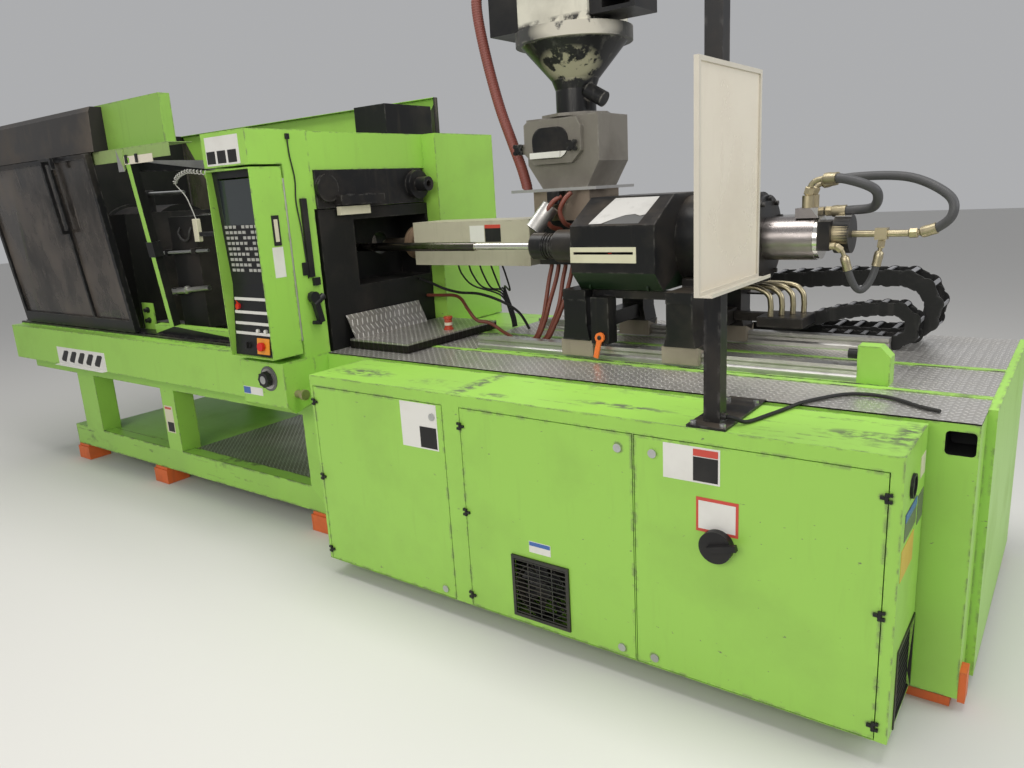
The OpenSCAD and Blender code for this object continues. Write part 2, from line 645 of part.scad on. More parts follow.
// Pistol-grip hand piece on its hook
module hand_gun() color(dark) {
    x = con_x1 + 22;
    rod_x(con_x1, con_x1 + 10, post_y + 60, con_z + 265, 5);
    translate([x, post_y + 70, con_z + 250]) rotate([0, 90, 0]) cylinder(h = 26, r = 26, center = true);
    translate([x, post_y + 95, con_z + 232]) rotate([120, 0, 0]) cylinder(h = 70, r = 16, center = true);
    translate([x, post_y + 84, con_z + 190]) rotate([12, 0, 0]) cube([24, 30, 120], center = true);
    translate([x, post_y + 72, con_z + 132]) rotate([80, 0, 0]) cylinder(h = 44, r = 9, center = true);
}

// Cabinet: folded shell with frame, bulkheads and door hinges
hinge_r = 5;
module cabinet_shell() color(green) {
    difference() {
        block(-cab_l, 0, 0, cab_d, cab_low, deck_h);
        for (i = [0:2])
            block(door_x[i] - door_gap, door_x[i] + door_w[i] + door_gap, -1, cab_d - sheet,
                door_z - door_gap, door_z + door_h + door_gap);
        block(-strip_r, 1, vent_y0, vent_y0 + vent_w, vent_z0, vent_z0 + vent_h);
    }
    end_vent();
    for (i = [0:2], z = hinge_zs) hinge_knuckle(i, z);
    block(-cab_l, -20, cab_d, base_y, deck_h - 180, deck_h - 120);
    block(-cab_l, -20, cab_d, base_y, cab_low + 60, cab_low + 120);
}
// Filter grille and blanked socket in the right end of the cabinet
vent_y0 = 76;
vent_w = 226;
vent_z0 = cab_low + 6;
vent_h = 232;
module end_vent() {
    color([0.2, 0.2, 0.2]) for (k = [0:10]) {
        z = vent_z0 + 6 + k * 21;
        block(-24, -6, vent_y0 - 1, vent_y0 + vent_w + 1, z, z + 9);
    }
    color([0.7, 0.7, 0.68]) difference() {
        block(0, 4, vent_y0 - 10, vent_y0 + vent_w + 10, vent_z0 - 1, vent_z0 + vent_h + 10);
        block(-1, 5, vent_y0, vent_y0 + vent_w, vent_z0 - 2, vent_z0 + vent_h);
    }
    color([0.5, 0.5, 0.5]) difference() {
        rod_x(-1, 8, 120, deck_h - 115, 34);
        rod_x(3, 9, 120, deck_h - 115, 27);
    }
}
hinge_zs = [door_z + 43, door_z + door_h / 2 - 9, door_z + door_h - 66];
function hinge_x(i) = i == 2 ? door_x[2] + door_w[2] - 2 : door_x[i] + 2;
module hinge_knuckle(i, z) {
    s = i == 2 ? 1 : -1;
    rod_z(z - 13.5, z + 13.5, hinge_x(i), -6, 2.2);
    for (e = [-13.5, 5]) {
        rod_z(z + e, z + e + 8.5, hinge_x(i), -6, hinge_r);
        translate([hinge_x(i) + (s > 0 ? 0 : -14), -8, z + e]) cube([14, 4, 8.5]);
        translate([hinge_x(i) + (s > 0 ? 7.5 : -14), -8, z + e]) cube([6.5, 9, 8.5]);
    }
}
// Door tray with hinge leaves and quarter-turn locks
module cabinet_door(i) {
    s = i == 2 ? -1 : 1;
    lock_x = i == 2 ? door_x[i] + 62 : door_x[i] + door_w[i] - 48;
    difference() {
        block(door_x[i], door_x[i] + door_w[i], 0, door_t, door_z, door_z + door_h);
        block(door_x[i] + sheet, door_x[i] + door_w[i] - sheet, sheet, door_t + 1, door_z + sheet, door_z + door_h - sheet);
        children();
    }
    for (z = hinge_zs) {
        difference() {
            union() {
                rod_z(z - 4.5, z + 4.5, hinge_x(i), -6, hinge_r);
                translate([hinge_x(i) + (s > 0 ? 0 : -16), -8, z - 4.5]) cube([16, 4, 9]);
                translate([hinge_x(i) + (s > 0 ? 7 : -16), -8, z - 4.5]) cube([9, 8.5, 9]);
            }
            rod_z(z - 6, z + 6, hinge_x(i), -6, 2.5);
        }
    }
    color(steel) for (z = [door_z + 30, door_z + door_h - 50]) rod_y(-6, 0.5, lock_x, z, 14);
}
module door_1() color(green) cabinet_door(0);
module door_2() color(green) cabinet_door(1) {
    block(fan_x - fan_d / 2 - 8, fan_x + fan_d / 2 + 8, -1, sheet + 1, fan_z - fan_d / 2 - 8, fan_z + fan_d / 2 + 8);
}
module door_3() color(green) cabinet_door(2) {
    rod_y(-1, sheet + 1, switch_x, switch_z, 8.5);
}
fan_x = door_x[1] + 320;
fan_z = door_z + 142;
switch_x = door_x[2] + 270;
switch_z = door_z + 476;
module fan_grille() color([0.25, 0.25, 0.24]) {
    w = fan_d / 2 + 20;
    difference() {
        block(fan_x - w, fan_x + w, -8, 0, fan_z - w, fan_z + w);
        block(fan_x - w + 12, fan_x + w - 12, -9, 1, fan_z - w + 12, fan_z + w - 12);
    }
    for (k = [0:12]) {
        z = fan_z - w + 16 + k * (2 * w - 35) / 12;
        block(fan_x - w + 10, fan_x + w - 10, -6, -2, z, z + 4);
    }
    for (x = [-50, 0, 50]) block(fan_x + x - 2, fan_x + x + 2, -5, -1, fan_z - w + 10, fan_z + w - 10);
    difference() {
        rod_y(sheet, 48, fan_x, fan_z, fan_d / 2 + 6);
        rod_y(sheet - 1, 49, fan_x, fan_z, fan_d / 2 + 3);
    }
    rod_y(40, 46, fan_x, fan_z, 30);
    for (a = [45:90:315]) translate([fan_x, 43, fan_z]) rotate([0, a, 0]) translate([25, -2, -5]) cube([fan_d / 2 - 21, 4, 10]);
    for (s = [-1, 1]) block(fan_x + s * (fan_d / 2 + 5) - 3, fan_x + s * (fan_d / 2 + 5) + 3, -2, 40, fan_z - 10, fan_z + 10);
}
module fan() color(dark) {
    rod_y(12, 39.5, fan_x, fan_z, 32);
    for (a = [0:51.4:359]) translate([fan_x, 26, fan_z]) rotate([0, a, 0]) rotate([28, 0, 0])
        translate([30, -1.5, -22]) cube([fan_d / 2 - 33, 3, 40]);
}
module main_switch() color(dark) {
    rod_y(-26, -0.5, switch_x, switch_z, switch_d / 2);
    rod_y(-1, 30, switch_x, switch_z, 8);
    translate([switch_x, -34, switch_z]) rotate([0, -15, 0]) translate([-20, -8, -9]) cube([90, 16.5, 18]);
}
// Mounting plate with contactors, drives and transformer inside the cabinet
module switchgear() color([0.6, 0.62, 0.62]) {
    for (i = [0:2]) {
        x0 = door_x[i] + 40;
        x1 = door_x[i] + door_w[i] - 40;
        block(x0, x1, cab_d - sheet - 18, cab_d - sheet, door_z + 30, door_z + door_h - 30);
        for (k = [0:2]) {
            z = door_z + 330 + k * 145;
            block(x0 + 20, x1 - 20, cab_d - sheet - 26, cab_d - sheet - 17, z, z + 30);
            for (n = [0:floor((x1 - x0 - 170) / 72) - k]) block(x0 + 40 + n * 72, x0 + 98 + n * 72, cab_d - sheet - 100, cab_d - sheet - 25, z - 25, z + 60);
        }
        block(x0 + 60, x0 + 260, cab_d - sheet - 150, cab_d - sheet - 17, door_z + 60, door_z + 250);
    }
}

// Post with foot plate bolted on the cabinet, bare board at its side
mast_x0 = -501 - mast_s;
mast_y0 = 52;
module mast() color(dark) {
    difference() {
        block(mast_x0, mast_x0 + mast_s, mast_y0, mast_y0 + mast_s, deck_h + 8, mast_h);
        block(mast_x0 + 3, mast_x0 + mast_s - 3, mast_y0 + 3, mast_y0 + mast_s - 3, deck_h + 9, mast_h - 3);
    }
    difference() {
        block(mast_x0 - 34, mast_x0 + mast_s + 35, 6, 352, deck_h, deck_h + 8);
        block(mast_x0 - 35, mast_x0 + mast_s + 36, cab_d, 353, deck_h - 1, deck_h + 6);
    }
    for (x = [mast_x0 - 20, mast_x0 + mast_s + 20], y = [24, 300]) color(steel) rod_z(deck_h + 8, deck_h + 16, x, y, 9);
    rod_x(mast_x0 + mast_s, mast_x0 + mast_s + 14, mast_y0 + 18, deck_h + 25, 10);
}
board_y0 = -132;
board_x = mast_x0 + mast_s;
board_z = deck_h + 400;
module whiteboard() {
    y1 = board_y0 + board_w;
    color([0.93, 0.93, 0.9]) block(board_x + 3, board_x + 9, board_y0 + 6, y1 - 6, board_z + 6, board_z + board_h - 6);
    color(steel) {
        difference() {
            block(board_x, board_x + 14, board_y0, y1, board_z, board_z + board_h);
            block(board_x - 1, board_x + 15, board_y0 + 12, y1 - 12, board_z + 12, board_z + board_h - 12);
            block(board_x + 3, board_x + 9, board_y0 + 6, y1 - 6, board_z + 6, board_z + board_h - 6);
        }
        block(board_x + 14, board_x + 50, board_y0, y1, board_z, board_z + 3);
        block(board_x + 47, board_x + 50, board_y0, y1, board_z + 3, board_z + 10);
        for (z = [board_z + 60, board_z + board_h - 90]) block(board_x, board_x + 3, mast_y0, mast_y0 + mast_s, z, z + 30);
    }
}
module mast_cable() color(dark) tube(cable_route, cable_r, 8);

// Linear guide rail with side grooves; grow widens it for the blocks that ride on it
function rail_outline(y, z, grow) = let (w = rail_w / 2 + grow, n = rail_w / 2 - 7 + grow, h = rail_h + grow) [
    [y - w, z - grow], [y - w, z + 16], [y - n, z + 24 - grow], [y - n, z + 34 + grow], [y - w, z + 42],
    [y - w, z + h], [y + w, z + h], [y + w, z + 42], [y + n, z + 34 + grow], [y + n, z + 24 - grow],
    [y + w, z + 16], [y + w, z - grow]
];
module injection_rails() color(steel) {
    for (y = [rail_y1, rail_y2]) difference() {
        prism_x(rail_x0, rail_x1, rail_outline(y, deck_h + tread_t, 0));
        for (x = [rail_x0 + 60:150:rail_x1 - 20]) rod_z(rail_top - 10, rail_top + 1, x, y, 9);
    }
}
// Fixed stop at the end of the front rail, with rubber bumper
stop_x1 = rail_x1 + 103;
module stop_block() {
    color(green) prism_y(rail_y1 - 32, rail_y1 + 32, [
        [rail_x1 + part_gap, deck_h + tread_t], [rail_x1 + part_gap, deck_h + 132], [rail_x1 + 70, deck_h + 132],
        [stop_x1, deck_h + 98], [stop_x1, deck_h + tread_t]
    ]);
    color(dark) rod_x(rail_x1 - 34, rail_x1 + part_gap, rail_y1, deck_h + 98, 17);
}
// Rod that pulls the injection unit up to the platen
module carriage_rod() color(steel) {
    rod_x(platen_x + 120, trav_x0 + 525, trav_y, axis_h, rod_d / 2);
    rod_x(trav_x0 + 495, trav_x0 + 525, trav_y, axis_h, rod_d / 2 + 15 - bore_gap);
    rod_x(platen_x + 120, px + 670, trav_y, axis_h, rod_d / 2 + 5);
}

// Two bridges with guide blocks carry the injection unit
module carriage_frame() color(dark) {
    difference() {
        union() {
            for (x = [block_x1, block_x2], y = [rail_y1, rail_y2]) {
                block(x, x + block_l, y - 46, y + 46, block_z, block_top);
                prism_y(y - 55, y + 55, [
                    [x + 14, block_top], [x + 24, block_top + 60], [x + 24, axis_h - 172], [x + 130, axis_h - 172],
                    [x + 130, block_top + 60], [x + block_l - 8, block_top]
                ]);
            }
            for (x = [block_x1, block_x2]) {
                block(x + 24, x + 130, rail_y1 - 60, rail_y2 + 60, axis_h - 215, axis_h - 172);
                block(x + 40, x + 114, rail_y1, rail_y2, block_top + 20, block_top + 80);
            }
            for (y = [rail_y1, rail_y2 - 40]) block(block_x1 + 120, block_x2 + 30, y, y + 40, axis_h - 210, axis_h - 178);
            block(block_x2 + 20, block_x2 + 130, axis_y - 150, axis_y + 150, axis_h - 180, axis_h - 140);
        }
        rod_x(block_x2, block_x2 + block_l, axis_y, axis_h, inj_d / 2 + part_gap);
        for (y = [rail_y1, rail_y2]) prism_x(block_x1 - 1, block_x2 + block_l + 1, rail_outline(y, deck_h + tread_t, slide_gap));
    }
    lever_pivot();
    chain_arms();
}
// Arms that carry the moving ends of both energy chains
module chain_arms() {
    z1 = chain_at(0, chain_top, chain_cx, chain_zt, chain_r)[1] - chain_h / 2 - part_gap;
    block(block_x2 + 90, chain_cx - chain_top[0] + 30, rail_y2 + 20, rail_y2 + 130 + chain_w, z1 - 8, z1);
    block(block_x2 + 90, block_x2 + 130, rail_y2 + 20, rail_y2 + 60, z1 - 8, axis_h - 180);
    z2 = chain_at(0, front_top, chain_cx, front_zt, front_r)[1] - front_h / 2 - part_gap;
    block(block_x2 + block_l - 1, chain_cx - front_top[0] + 25, rail_y2 + 30, rail_y2 + 128, z2 - 6, z2);
}
// Lever with orange tag at the front of the carriage
lever_x = block_x1 + 200;
lever_z = deck_h + 105;
lever_y = rail_y1 - 80;
module lever_pivot() {
    block(lever_x - 45, lever_x + 35, rail_y1 - 62, rail_y1 + 5, lever_z - 28, axis_h - 200);
    rod_y(lever_y, rail_y1 - 60, lever_x, lever_z, 9);
}
module carriage_lever() color([0.95, 0.35, 0.12]) {
    difference() {
        union() {
            rod_y(lever_y + 2, lever_y + 14, lever_x, lever_z, 20);
            translate([lever_x, lever_y + 2, lever_z]) rotate([0, 14, 0]) translate([-10, 1, -86]) cube([20, 10, 72]);
        }
        rod_y(lever_y, lever_y + 16, lever_x, lever_z, 9 + part_gap);
    }
}

// Eight-sided cover of the injection housing
cover_y0 = axis_y - 345;
function octagon(g) = [
    [cover_y0 + g, axis_h - 99], [cover_y0 + g, axis_h + 81], [axis_y - 170 + g / 2, axis_h + 185 - g],
    [axis_y + 170 - g / 2, axis_h + 185 - g], [axis_y + 345 - g, axis_h + 81], [axis_y + 345 - g, axis_h - 99],
    [axis_y + 275 - g, axis_h - 172 + g], [axis_y - 275 + g, axis_h - 172 + g]
];
module injection_housing() color(dark) {
    difference() {
        prism_x(housing_x0, housing_x1, octagon(0));
        prism_x(housing_x0 + 12, housing_x1 - 20, octagon(8));
        rod_x(housing_x0 - 1, housing_x0 + 13, axis_y, axis_h, barrel_d / 2 + part_gap);
        rod_x(housing_x1 - 21, housing_x1 + 1, axis_y, axis_h, rear_d / 2);
        rod_x(housing_x0 - 1, housing_x0 + 13, trav_y, axis_h, 50 + part_gap);
        block(housing_x0 + 20, housing_x0 + 282, cover_y0 - 1, cover_y0 + 9, axis_h - 26, axis_h - 20);
    }
    for (x = [housing_x0 + 50, housing_x1 - 60])
        translate([x, cover_y0 + 62, axis_h - 160]) rotate([0, 90, 0]) difference() {
            cylinder(h = 8, r = 14);
            translate([0, 0, -1]) cylinder(h = 10, r = 8);
        }
    color([0.85, 0.83, 0.72]) difference() {
        block(housing_x0 - 1, housing_x0 + 288, cover_y0 - 3, cover_y0, axis_h - 60, axis_h);
        block(housing_x0 + 14, housing_x0 + 276, cover_y0 - 4, cover_y0 + 1, axis_h - 28, axis_h - 18);
    }
}
// Large black cylinder with end flanges
module injection_cylinder() color([0.09, 0.09, 0.09]) {
    difference() {
        union() {
            rod_x(housing_x1, cyl_x1, axis_y, axis_h, inj_d / 2);
            rod_x(cyl_x1, cyl_x1 + 24, axis_y, axis_h, inj_d / 2 - 12);
        }
        rod_x(housing_x1 - 1, cyl_x1, axis_y, axis_h, inj_d / 2 - 34);
        rod_x(cyl_x1 - 1, cyl_x1 + 25, axis_y, axis_h, 29 + bore_gap);
    }
    for (a = [0:30:330])
        rod_x(cyl_x1 + 24, cyl_x1 + 36, axis_y + (inj_d / 2 - 26) * cos(a), axis_h + (inj_d / 2 - 26) * sin(a), 9);
}
// Polished rear cylinder with cap, screw motor and valve block
rear_x0 = cyl_x1 + 24;
rear_x1 = px + 2055;
module rear_cylinder() {
    color(steel) difference() {
        rod_x(rear_x0, rear_x1, axis_y, axis_h, rear_d / 2);
        rod_x(rear_x0 - 1, rear_x1 - 30, axis_y, axis_h, 60);
    }
    color([0.6, 0.58, 0.5]) rod_x(rear_x1, rear_x1 + 18, axis_y, axis_h, rear_d / 2 - 4);
    color(dark) {
        block(rear_x1 + 18, rear_x1 + 62, axis_y - 80, axis_y + 60, axis_h - 40, axis_h + 62);
        rod_x(rear_x1 + 62, rear_x1 + 118, axis_y + 10, axis_h + 12, 68);
        block(rear_x1 - 70, rear_x1 + 10, axis_y - 45, axis_y + 70, axis_h + rear_d / 2 - 6, axis_h + rear_d / 2 + 30);
    }
    color([0.75, 0.68, 0.4]) {
        for (y = [axis_y - 30, axis_y + 40]) rod_z(axis_h + rear_d / 2 + 30, axis_h + rear_d / 2 + 74, rear_x1 - 30, y, 20);
        rod_x(rear_x1 + 62, rear_x1 + 80, axis_y - 66, axis_h - 24, 13);
        rod_x(rear_x1 + 118, rear_x1 + 300, axis_y + 10, axis_h + 12, 12);
        block(rear_x1 + 195, rear_x1 + 235, axis_y - 10, axis_y + 30, axis_h - 8, axis_h + 32);
    }
}
// Cylinder that draws the carriage forward, with ring head
module traverse_cylinder() color(dark) {
    difference() {
        union() {
            rod_x(trav_x0, trav_x0 + 60, trav_y, axis_h, 55);
            for (k = [0:3]) rod_x(trav_x0 + 60 + k * 14, trav_x0 + 67 + k * 14, trav_y, axis_h, 52);
            rod_x(trav_x0 + 60, trav_x0 + 120, trav_y, axis_h, 48);
            rod_x(trav_x0 + 120, housing_x0, trav_y, axis_h, 66);
            rod_x(housing_x0, housing_x0 + 340, trav_y, axis_h, 50);
        }
        rod_x(trav_x0 - 1, trav_x0 + 61, trav_y, axis_h, rod_d / 2 + bore_gap);
        rod_x(trav_x0 + 60, housing_x0 + 320, trav_y, axis_h, rod_d / 2 + 15);
    }
}

// Plasticising barrel with heater bands
module barrel() color([0.55, 0.5, 0.44]) {
    difference() {
        union() {
            rod_x(barrel_x0, barrel_x1, axis_y, axis_h, barrel_d / 2);
            for (k = [0:4]) rod_x(barrel_x0 + 90 + k * 130, barrel_x0 + 190 + k * 130, axis_y, axis_h, barrel_d / 2 + 10);
            rod_x(feed_x - 145, feed_x - 100, axis_y, axis_h, barrel_d / 2 + 30);
            feed_casting();
        }
        rod_x(barrel_x0 - 1, barrel_x1 + 1, axis_y, axis_h, screw_d / 2 + bore_gap);
        rod_z(axis_h, throat_z - 15, feed_x, axis_y, 35);
    }
}
module feed_casting() {
    block(feed_x - 110, housing_x0, axis_y - 100, axis_y + 100, axis_h - 95, axis_h + 95);
    block(feed_x - 110, feed_x + 170, axis_y - 125, axis_y + 125, axis_h + 95, throat_z - 29);
}
// Beige guard of folded sheet over the heater bands, with the round nozzle jacket
module barrel_guard() color([0.72, 0.7, 0.58]) {
    x0 = px + 150;
    x1 = px + 850;
    difference() {
        block(x0, x1, axis_y - 115, axis_y + 115, axis_h - 102, axis_h + 104);
        block(x0 - 1, x1 + 1, axis_y - 115 + sheet, axis_y + 115 - sheet, axis_h - 103, axis_h + 104 - sheet);
    }
    difference() {
        rod_x(px + 50, x0, axis_y, axis_h, 82);
        rod_x(px + 49, x0 + 1, axis_y, axis_h, 79);
    }
    for (x = [x0, x1 - 4]) difference() {
        block(x, x + 4, axis_y - 112, axis_y + 112, axis_h - 100, axis_h + 101);
        rod_x(x - 1, x + 5, axis_y, axis_h, barrel_d / 2 + part_gap);
    }
}
module nozzle() color([0.45, 0.4, 0.35]) {
    difference() {
        union() {
            rod_x(barrel_x0 - 90, barrel_x0, axis_y, axis_h, 40);
            rod_x(barrel_x0 - 260, barrel_x0 - 90, axis_y, axis_h, 24);
            translate([barrel_x0 - 290, axis_y, axis_h]) rotate([0, 90, 0]) cylinder(h = 30, r1 = 10, r2 = 24);
        }
        rod_x(barrel_x0 - 291, barrel_x0 + 1, axis_y, axis_h, 4);
    }
}

// Feed throat casting under the hopper, with inspection door and star knobs
module throat_block() {
    color([0.45, 0.43, 0.4]) {
        block(feed_x - 200, feed_x + 225, axis_y - 165, axis_y + 165, throat_z - 29, throat_z - 17);
        difference() {
            union() {
                prism_y(axis_y - 125, axis_y + 125, [
                    [feed_x - 60, throat_z - 17], [feed_x - 130, throat_z + 84], [feed_x - 130, throat_top],
                    [feed_x + 220, throat_top], [feed_x + 220, throat_z + 84], [feed_x + 160, throat_z - 17]
                ]);
                throat_flange();
                translate([feed_x + 45, axis_y, throat_top]) cylinder(h = 12, r = 150, $fn = 8);
            }
            rod_z(throat_z - 30, throat_top + 13, feed_x + 45, axis_y, 30);
        }
    }
    color([0.82, 0.82, 0.8]) block(feed_x - 95, feed_x + 55, axis_y - 163, axis_y - 155, throat_z + 108, throat_z + 132);
    color(dark) for (x = [feed_x - 150, feed_x + 120]) star_knob(x, throat_z + 150);
    color(dark) block(feed_x - 175, feed_x - 128, axis_y - 146, axis_y - 138, throat_z + 130, throat_z + 172);
    color(dark) block(feed_x - 140, feed_x - 110, axis_y - 142, axis_y - 120, throat_z + 130, throat_z + 172);
    color(dark) round_plate(feed_x - 85, feed_x + 90, axis_y - 155, axis_y - 148, throat_z + 105, throat_z + 230, 50);
}
// Clipped-corner flange round the inspection door
module throat_flange() {
    c = 45;
    prism_y(axis_y - 148, axis_y - 120, [
        [feed_x - 130, throat_z + 84 + c], [feed_x - 130, throat_top - c / 2], [feed_x - 110, throat_top - 8],
        [feed_x + 130, throat_top - 8], [feed_x + 150, throat_top - c], [feed_x + 150, throat_z + 84 + c],
        [feed_x + 105, throat_z + 84], [feed_x - 85, throat_z + 84]
    ]);
}
module star_knob(x, z) {
    rod_y(axis_y - 160, axis_y - 145, x, z, 8);
    rod_y(axis_y - 177, axis_y - 160, x, z, 15);
    for (a = [45:90:315]) rod_y(axis_y - 175, axis_y - 162, x + 19 * cos(a), z + 19 * sin(a), 9);
}
// Hopper: neck, funnel, clamp band, square body and side boxes
module hopper() {
    hx = feed_x + 45;
    r = hopper_d / 2;
    color([0.2, 0.2, 0.18]) difference() {
        translate([hx, axis_y, 0]) rotate_extrude() polygon([
            [85, throat_top + 12], [85, throat_top + 110], [100, throat_top + 150], [r, band_z], [r - 4, band_z],
            [96, throat_top + 152], [81, throat_top + 112], [81, throat_top + 12]
        ]);
        rod_x(hx, hx + 130, axis_y - 30, throat_top + 90, 26);
    }
    color([0.2, 0.2, 0.18]) translate([hx + 76, axis_y - 30, throat_top + 100]) rotate([0, 120, 0]) difference() {
        cylinder(h = 90, r = 32);
        translate([0, 0, -1]) cylinder(h = 78, r = 26);
    }
    color([0.8, 0.79, 0.74]) difference() {
        rod_z(band_z, body_z, hx, axis_y, r + 24);
        rod_z(band_z - 1, body_z - 12, hx, axis_y, r - 4);
        rod_z(body_z - 17, body_z + 1, hx, axis_y, 120);
    }
    color([0.86, 0.84, 0.76]) difference() {
        block(hx - 165, hx + 165, axis_y - 165, axis_y + 165, body_z, hopper_h);
        block(hx - 160, hx + 160, axis_y - 160, axis_y + 160, body_z - 1, hopper_h - 4);
    }
    color(dark) {
        block(hx - 345, hx - 165, axis_y - 120, axis_y + 60, body_z + 13, loader_z - 30);
        difference() {
            block(hx + 165, hx + 360, axis_y - 150, axis_y + 40, body_z + 18, body_z + 108);
            block(hx + 220, hx + 340, axis_y - 151, axis_y + 30, body_z + 34, body_z + 96);
        }
    }
    color(steel) rod_z(loader_z - 30, loader_z, hx - 250, axis_y - 65, 34);
}

// Conveying hose from the throat up to the hopper loader
module feed_hose() color([0.6, 0.32, 0.25]) {
    hx = feed_x + 45;
    hose([
        [feed_x - 168, axis_y - 90, throat_z - 17], [feed_x - 168, axis_y - 90, throat_z],
        [feed_x - 192, axis_y - 90, throat_z + 80], [feed_x - 235, axis_y - 90, throat_z + 190],
        [feed_x - 295, axis_y - 90, throat_z + 350], [feed_x - 352, axis_y - 90, throat_z + 560],
        [feed_x - 385, axis_y - 90, throat_z + 740], [feed_x - 378, axis_y - 85, loader_z],
        [feed_x - 320, axis_y - 75, loader_z + 40], [hx - 262, axis_y - 66, loader_z + 36],
        [hx - 250, axis_y - 65, loader_z + 18], [hx - 250, axis_y - 65, loader_z]
    ], 24, 10);
}
// Hydraulic pipes and hoses that ride with the injection unit
module hydraulic_hoses() {
    top = axis_h + rear_d / 2 + 74;
    side = axis_h + rear_d / 2 + 12;
    color([0.25, 0.25, 0.25]) {
        hose([
            [rear_x1 - 30, axis_y - 30, top], [rear_x1 - 30, axis_y - 30, top + 10],
            [rear_x1 + 5, axis_y - 36, top + 34], [rear_x1 + 110, axis_y - 66, top + 34],
            [rear_x1 + 200, axis_y - 56, top - 4], [rear_x1 + 185, axis_y + 10, side + 14],
            [rear_x1 + 100, axis_y + 44, side + 2], [rear_x1 + 30, axis_y + 50, side], [rear_x1 + 10, axis_y + 50, side]
        ], 16, 10);
        hose([
            [rear_x1 - 30, axis_y + 40, top], [rear_x1 - 30, axis_y + 40, top + 10],
            [rear_x1, axis_y + 46, top + 40], [rear_x1 + 120, axis_y + 60, top + 56],
            [rear_x1 + 290, axis_y + 50, top + 44], [rear_x1 + 415, axis_y + 10, top - 20],
            [rear_x1 + 430, axis_y - 6, top - 85], [rear_x1 + 375, axis_y + 6, axis_h + 22],
            [rear_x1 + 320, axis_y + 10, axis_h + 12], [rear_x1 + 300, axis_y + 10, axis_h + 12]
        ], 15, 10);
        hose([
            [rear_x1 + 80, axis_y - 66, axis_h - 24], [rear_x1 + 88, axis_y - 66, axis_h - 24],
            [rear_x1 + 106, axis_y - 60, axis_h - 50], [rear_x1 + 122, axis_y - 52, axis_h - 110],
            [rear_x1 + 146, axis_y - 36, axis_h - 172], [rear_x1 + 170, axis_y - 20, axis_h - 180],
            [rear_x1 + 196, axis_y, axis_h - 130], [rear_x1 + 215, axis_y + 10, axis_h - 24],
            [rear_x1 + 215, axis_y + 10, axis_h - 8]
        ], 12, 10);
    }
    color([0.6, 0.52, 0.3]) for (k = [0:3]) {
        y = axis_y + 60 + k * 44;
        x = block_x2 + 300 + k * 30;
        hose([
            [block_x2 + 130, y, axis_h - 195], [block_x2 + 150, y, axis_h - 195],
            [x - 60, y, axis_h - 197], [x - 10, y, axis_h - 225], [x, y, axis_h - 265],
            [x, y, block_top + 90], [x, y, block_top + 70]
        ], 11, 8);
    }
    color(dark) block(block_x2 + 250, block_x2 + 430, axis_y + 40, axis_y + 215, block_top + 30, block_top + 70);
    color(dark) block(block_x2 + 114, block_x2 + 251, axis_y + 150, axis_y + 190, block_top + 32, block_top + 68);
}
// Cooling water hoses from the feed casting down to the deck
module water_hoses() color([0.5, 0.2, 0.14]) {
    for (k = [0:3]) {
        x = feed_x - 60 + k * 36;
        y = axis_y - 132 - (k % 2) * 26;
        hose([
            [x, axis_y - 84, axis_h - 95], [x, axis_y - 84, axis_h - 108], [x - 4, axis_y - 104, axis_h - 165],
            [x - 8, y, axis_h - 260], [x - 20 - k * 6, y - 14, deck_h + 130], [x - 60 - k * 10, y - 26, deck_h + 42],
            [x - 150 - k * 14, y - 8, deck_h + tread_t + 12], [x - 240, y + 10 + k * 18, deck_h + tread_t + 11],
            [x - 262, y + 18 + k * 20, deck_h + tread_t + 11]
        ], 9, 8);
    }
}

// Energy chain: open links of two side plates and two bars, laid along a bent path
module chain_link(w, h, pitch) {
    for (y = [0, w - 5]) {
        translate([0, y, 0]) rotate([-90, 0, 0]) union() {
            cylinder(h = 5, r = h / 2);
            translate([0, -h / 2 + 4, 0]) cube([pitch * 0.62, h - 8, 5]);
        }
        translate([pitch * 0.55, y + (y == 0 ? 5.2 : -5.2), 0]) rotate([-90, 0, 0]) union() {
            cylinder(h = 5, r = h / 2 - 5);
            translate([-pitch * 0.1, -h / 2 + 6, 0]) cube([pitch * 0.35, h - 12, 5]);
        }
    }
    for (z = [-h / 2 + 2, h / 2 - 7]) translate([-8, 4, z]) cube([16, w - 8, 5]);
}
// Point of the chain at length s: top arc, loop and lower run
function chain_at(s, top, cx, zt, r) =
    s < top[0] ? let (d = top[0] - s, a = d / top[1] * 57.2958)
        [cx - top[1] * sin(a), zt - top[1] * (1 - cos(a))]
    : s < top[0] + PI * r ? let (a = (s - top[0]) / r * 57.2958) [cx + r * sin(a), zt - r * (1 - cos(a))]
    : [cx - (s - top[0] - PI * r), zt - 2 * r];
module chain(y0, w, h, pitch, n, top, cx, zt, r) {
    for (i = [0:n - 1]) {
        p = chain_at(i * pitch, top, cx, zt, r);
        q = chain_at((i + 1) * pitch, top, cx, zt, r);
        translate([p[0], y0, p[1]]) rotate([0, -atan2(q[1] - p[1], q[0] - p[0]), 0]) chain_link(w, h, pitch);
    }
}
chain_zb = deck_h + tread_t + part_gap;
chain_cx = rail_x1 + 6;
chain_h = 70;
chain_r = 117;
chain_top = [500, 6000];
chain_zt = chain_zb + chain_h / 2 + 2 * chain_r;
front_h = 58;
front_r = 66;
front_top = [480, 900];
front_zt = chain_zb + front_h / 2 + 2 * front_r;
module chain_rear() color([0.13, 0.13, 0.12]) {
    chain(rail_y2 + 135, chain_w, chain_h, 74, 20, chain_top, chain_cx, chain_zt, chain_r);
}
module chain_front() color([0.13, 0.13, 0.12]) {
    chain(rail_y2 + 36, 92, front_h, 62, 16, front_top, chain_cx, front_zt, front_r);
}

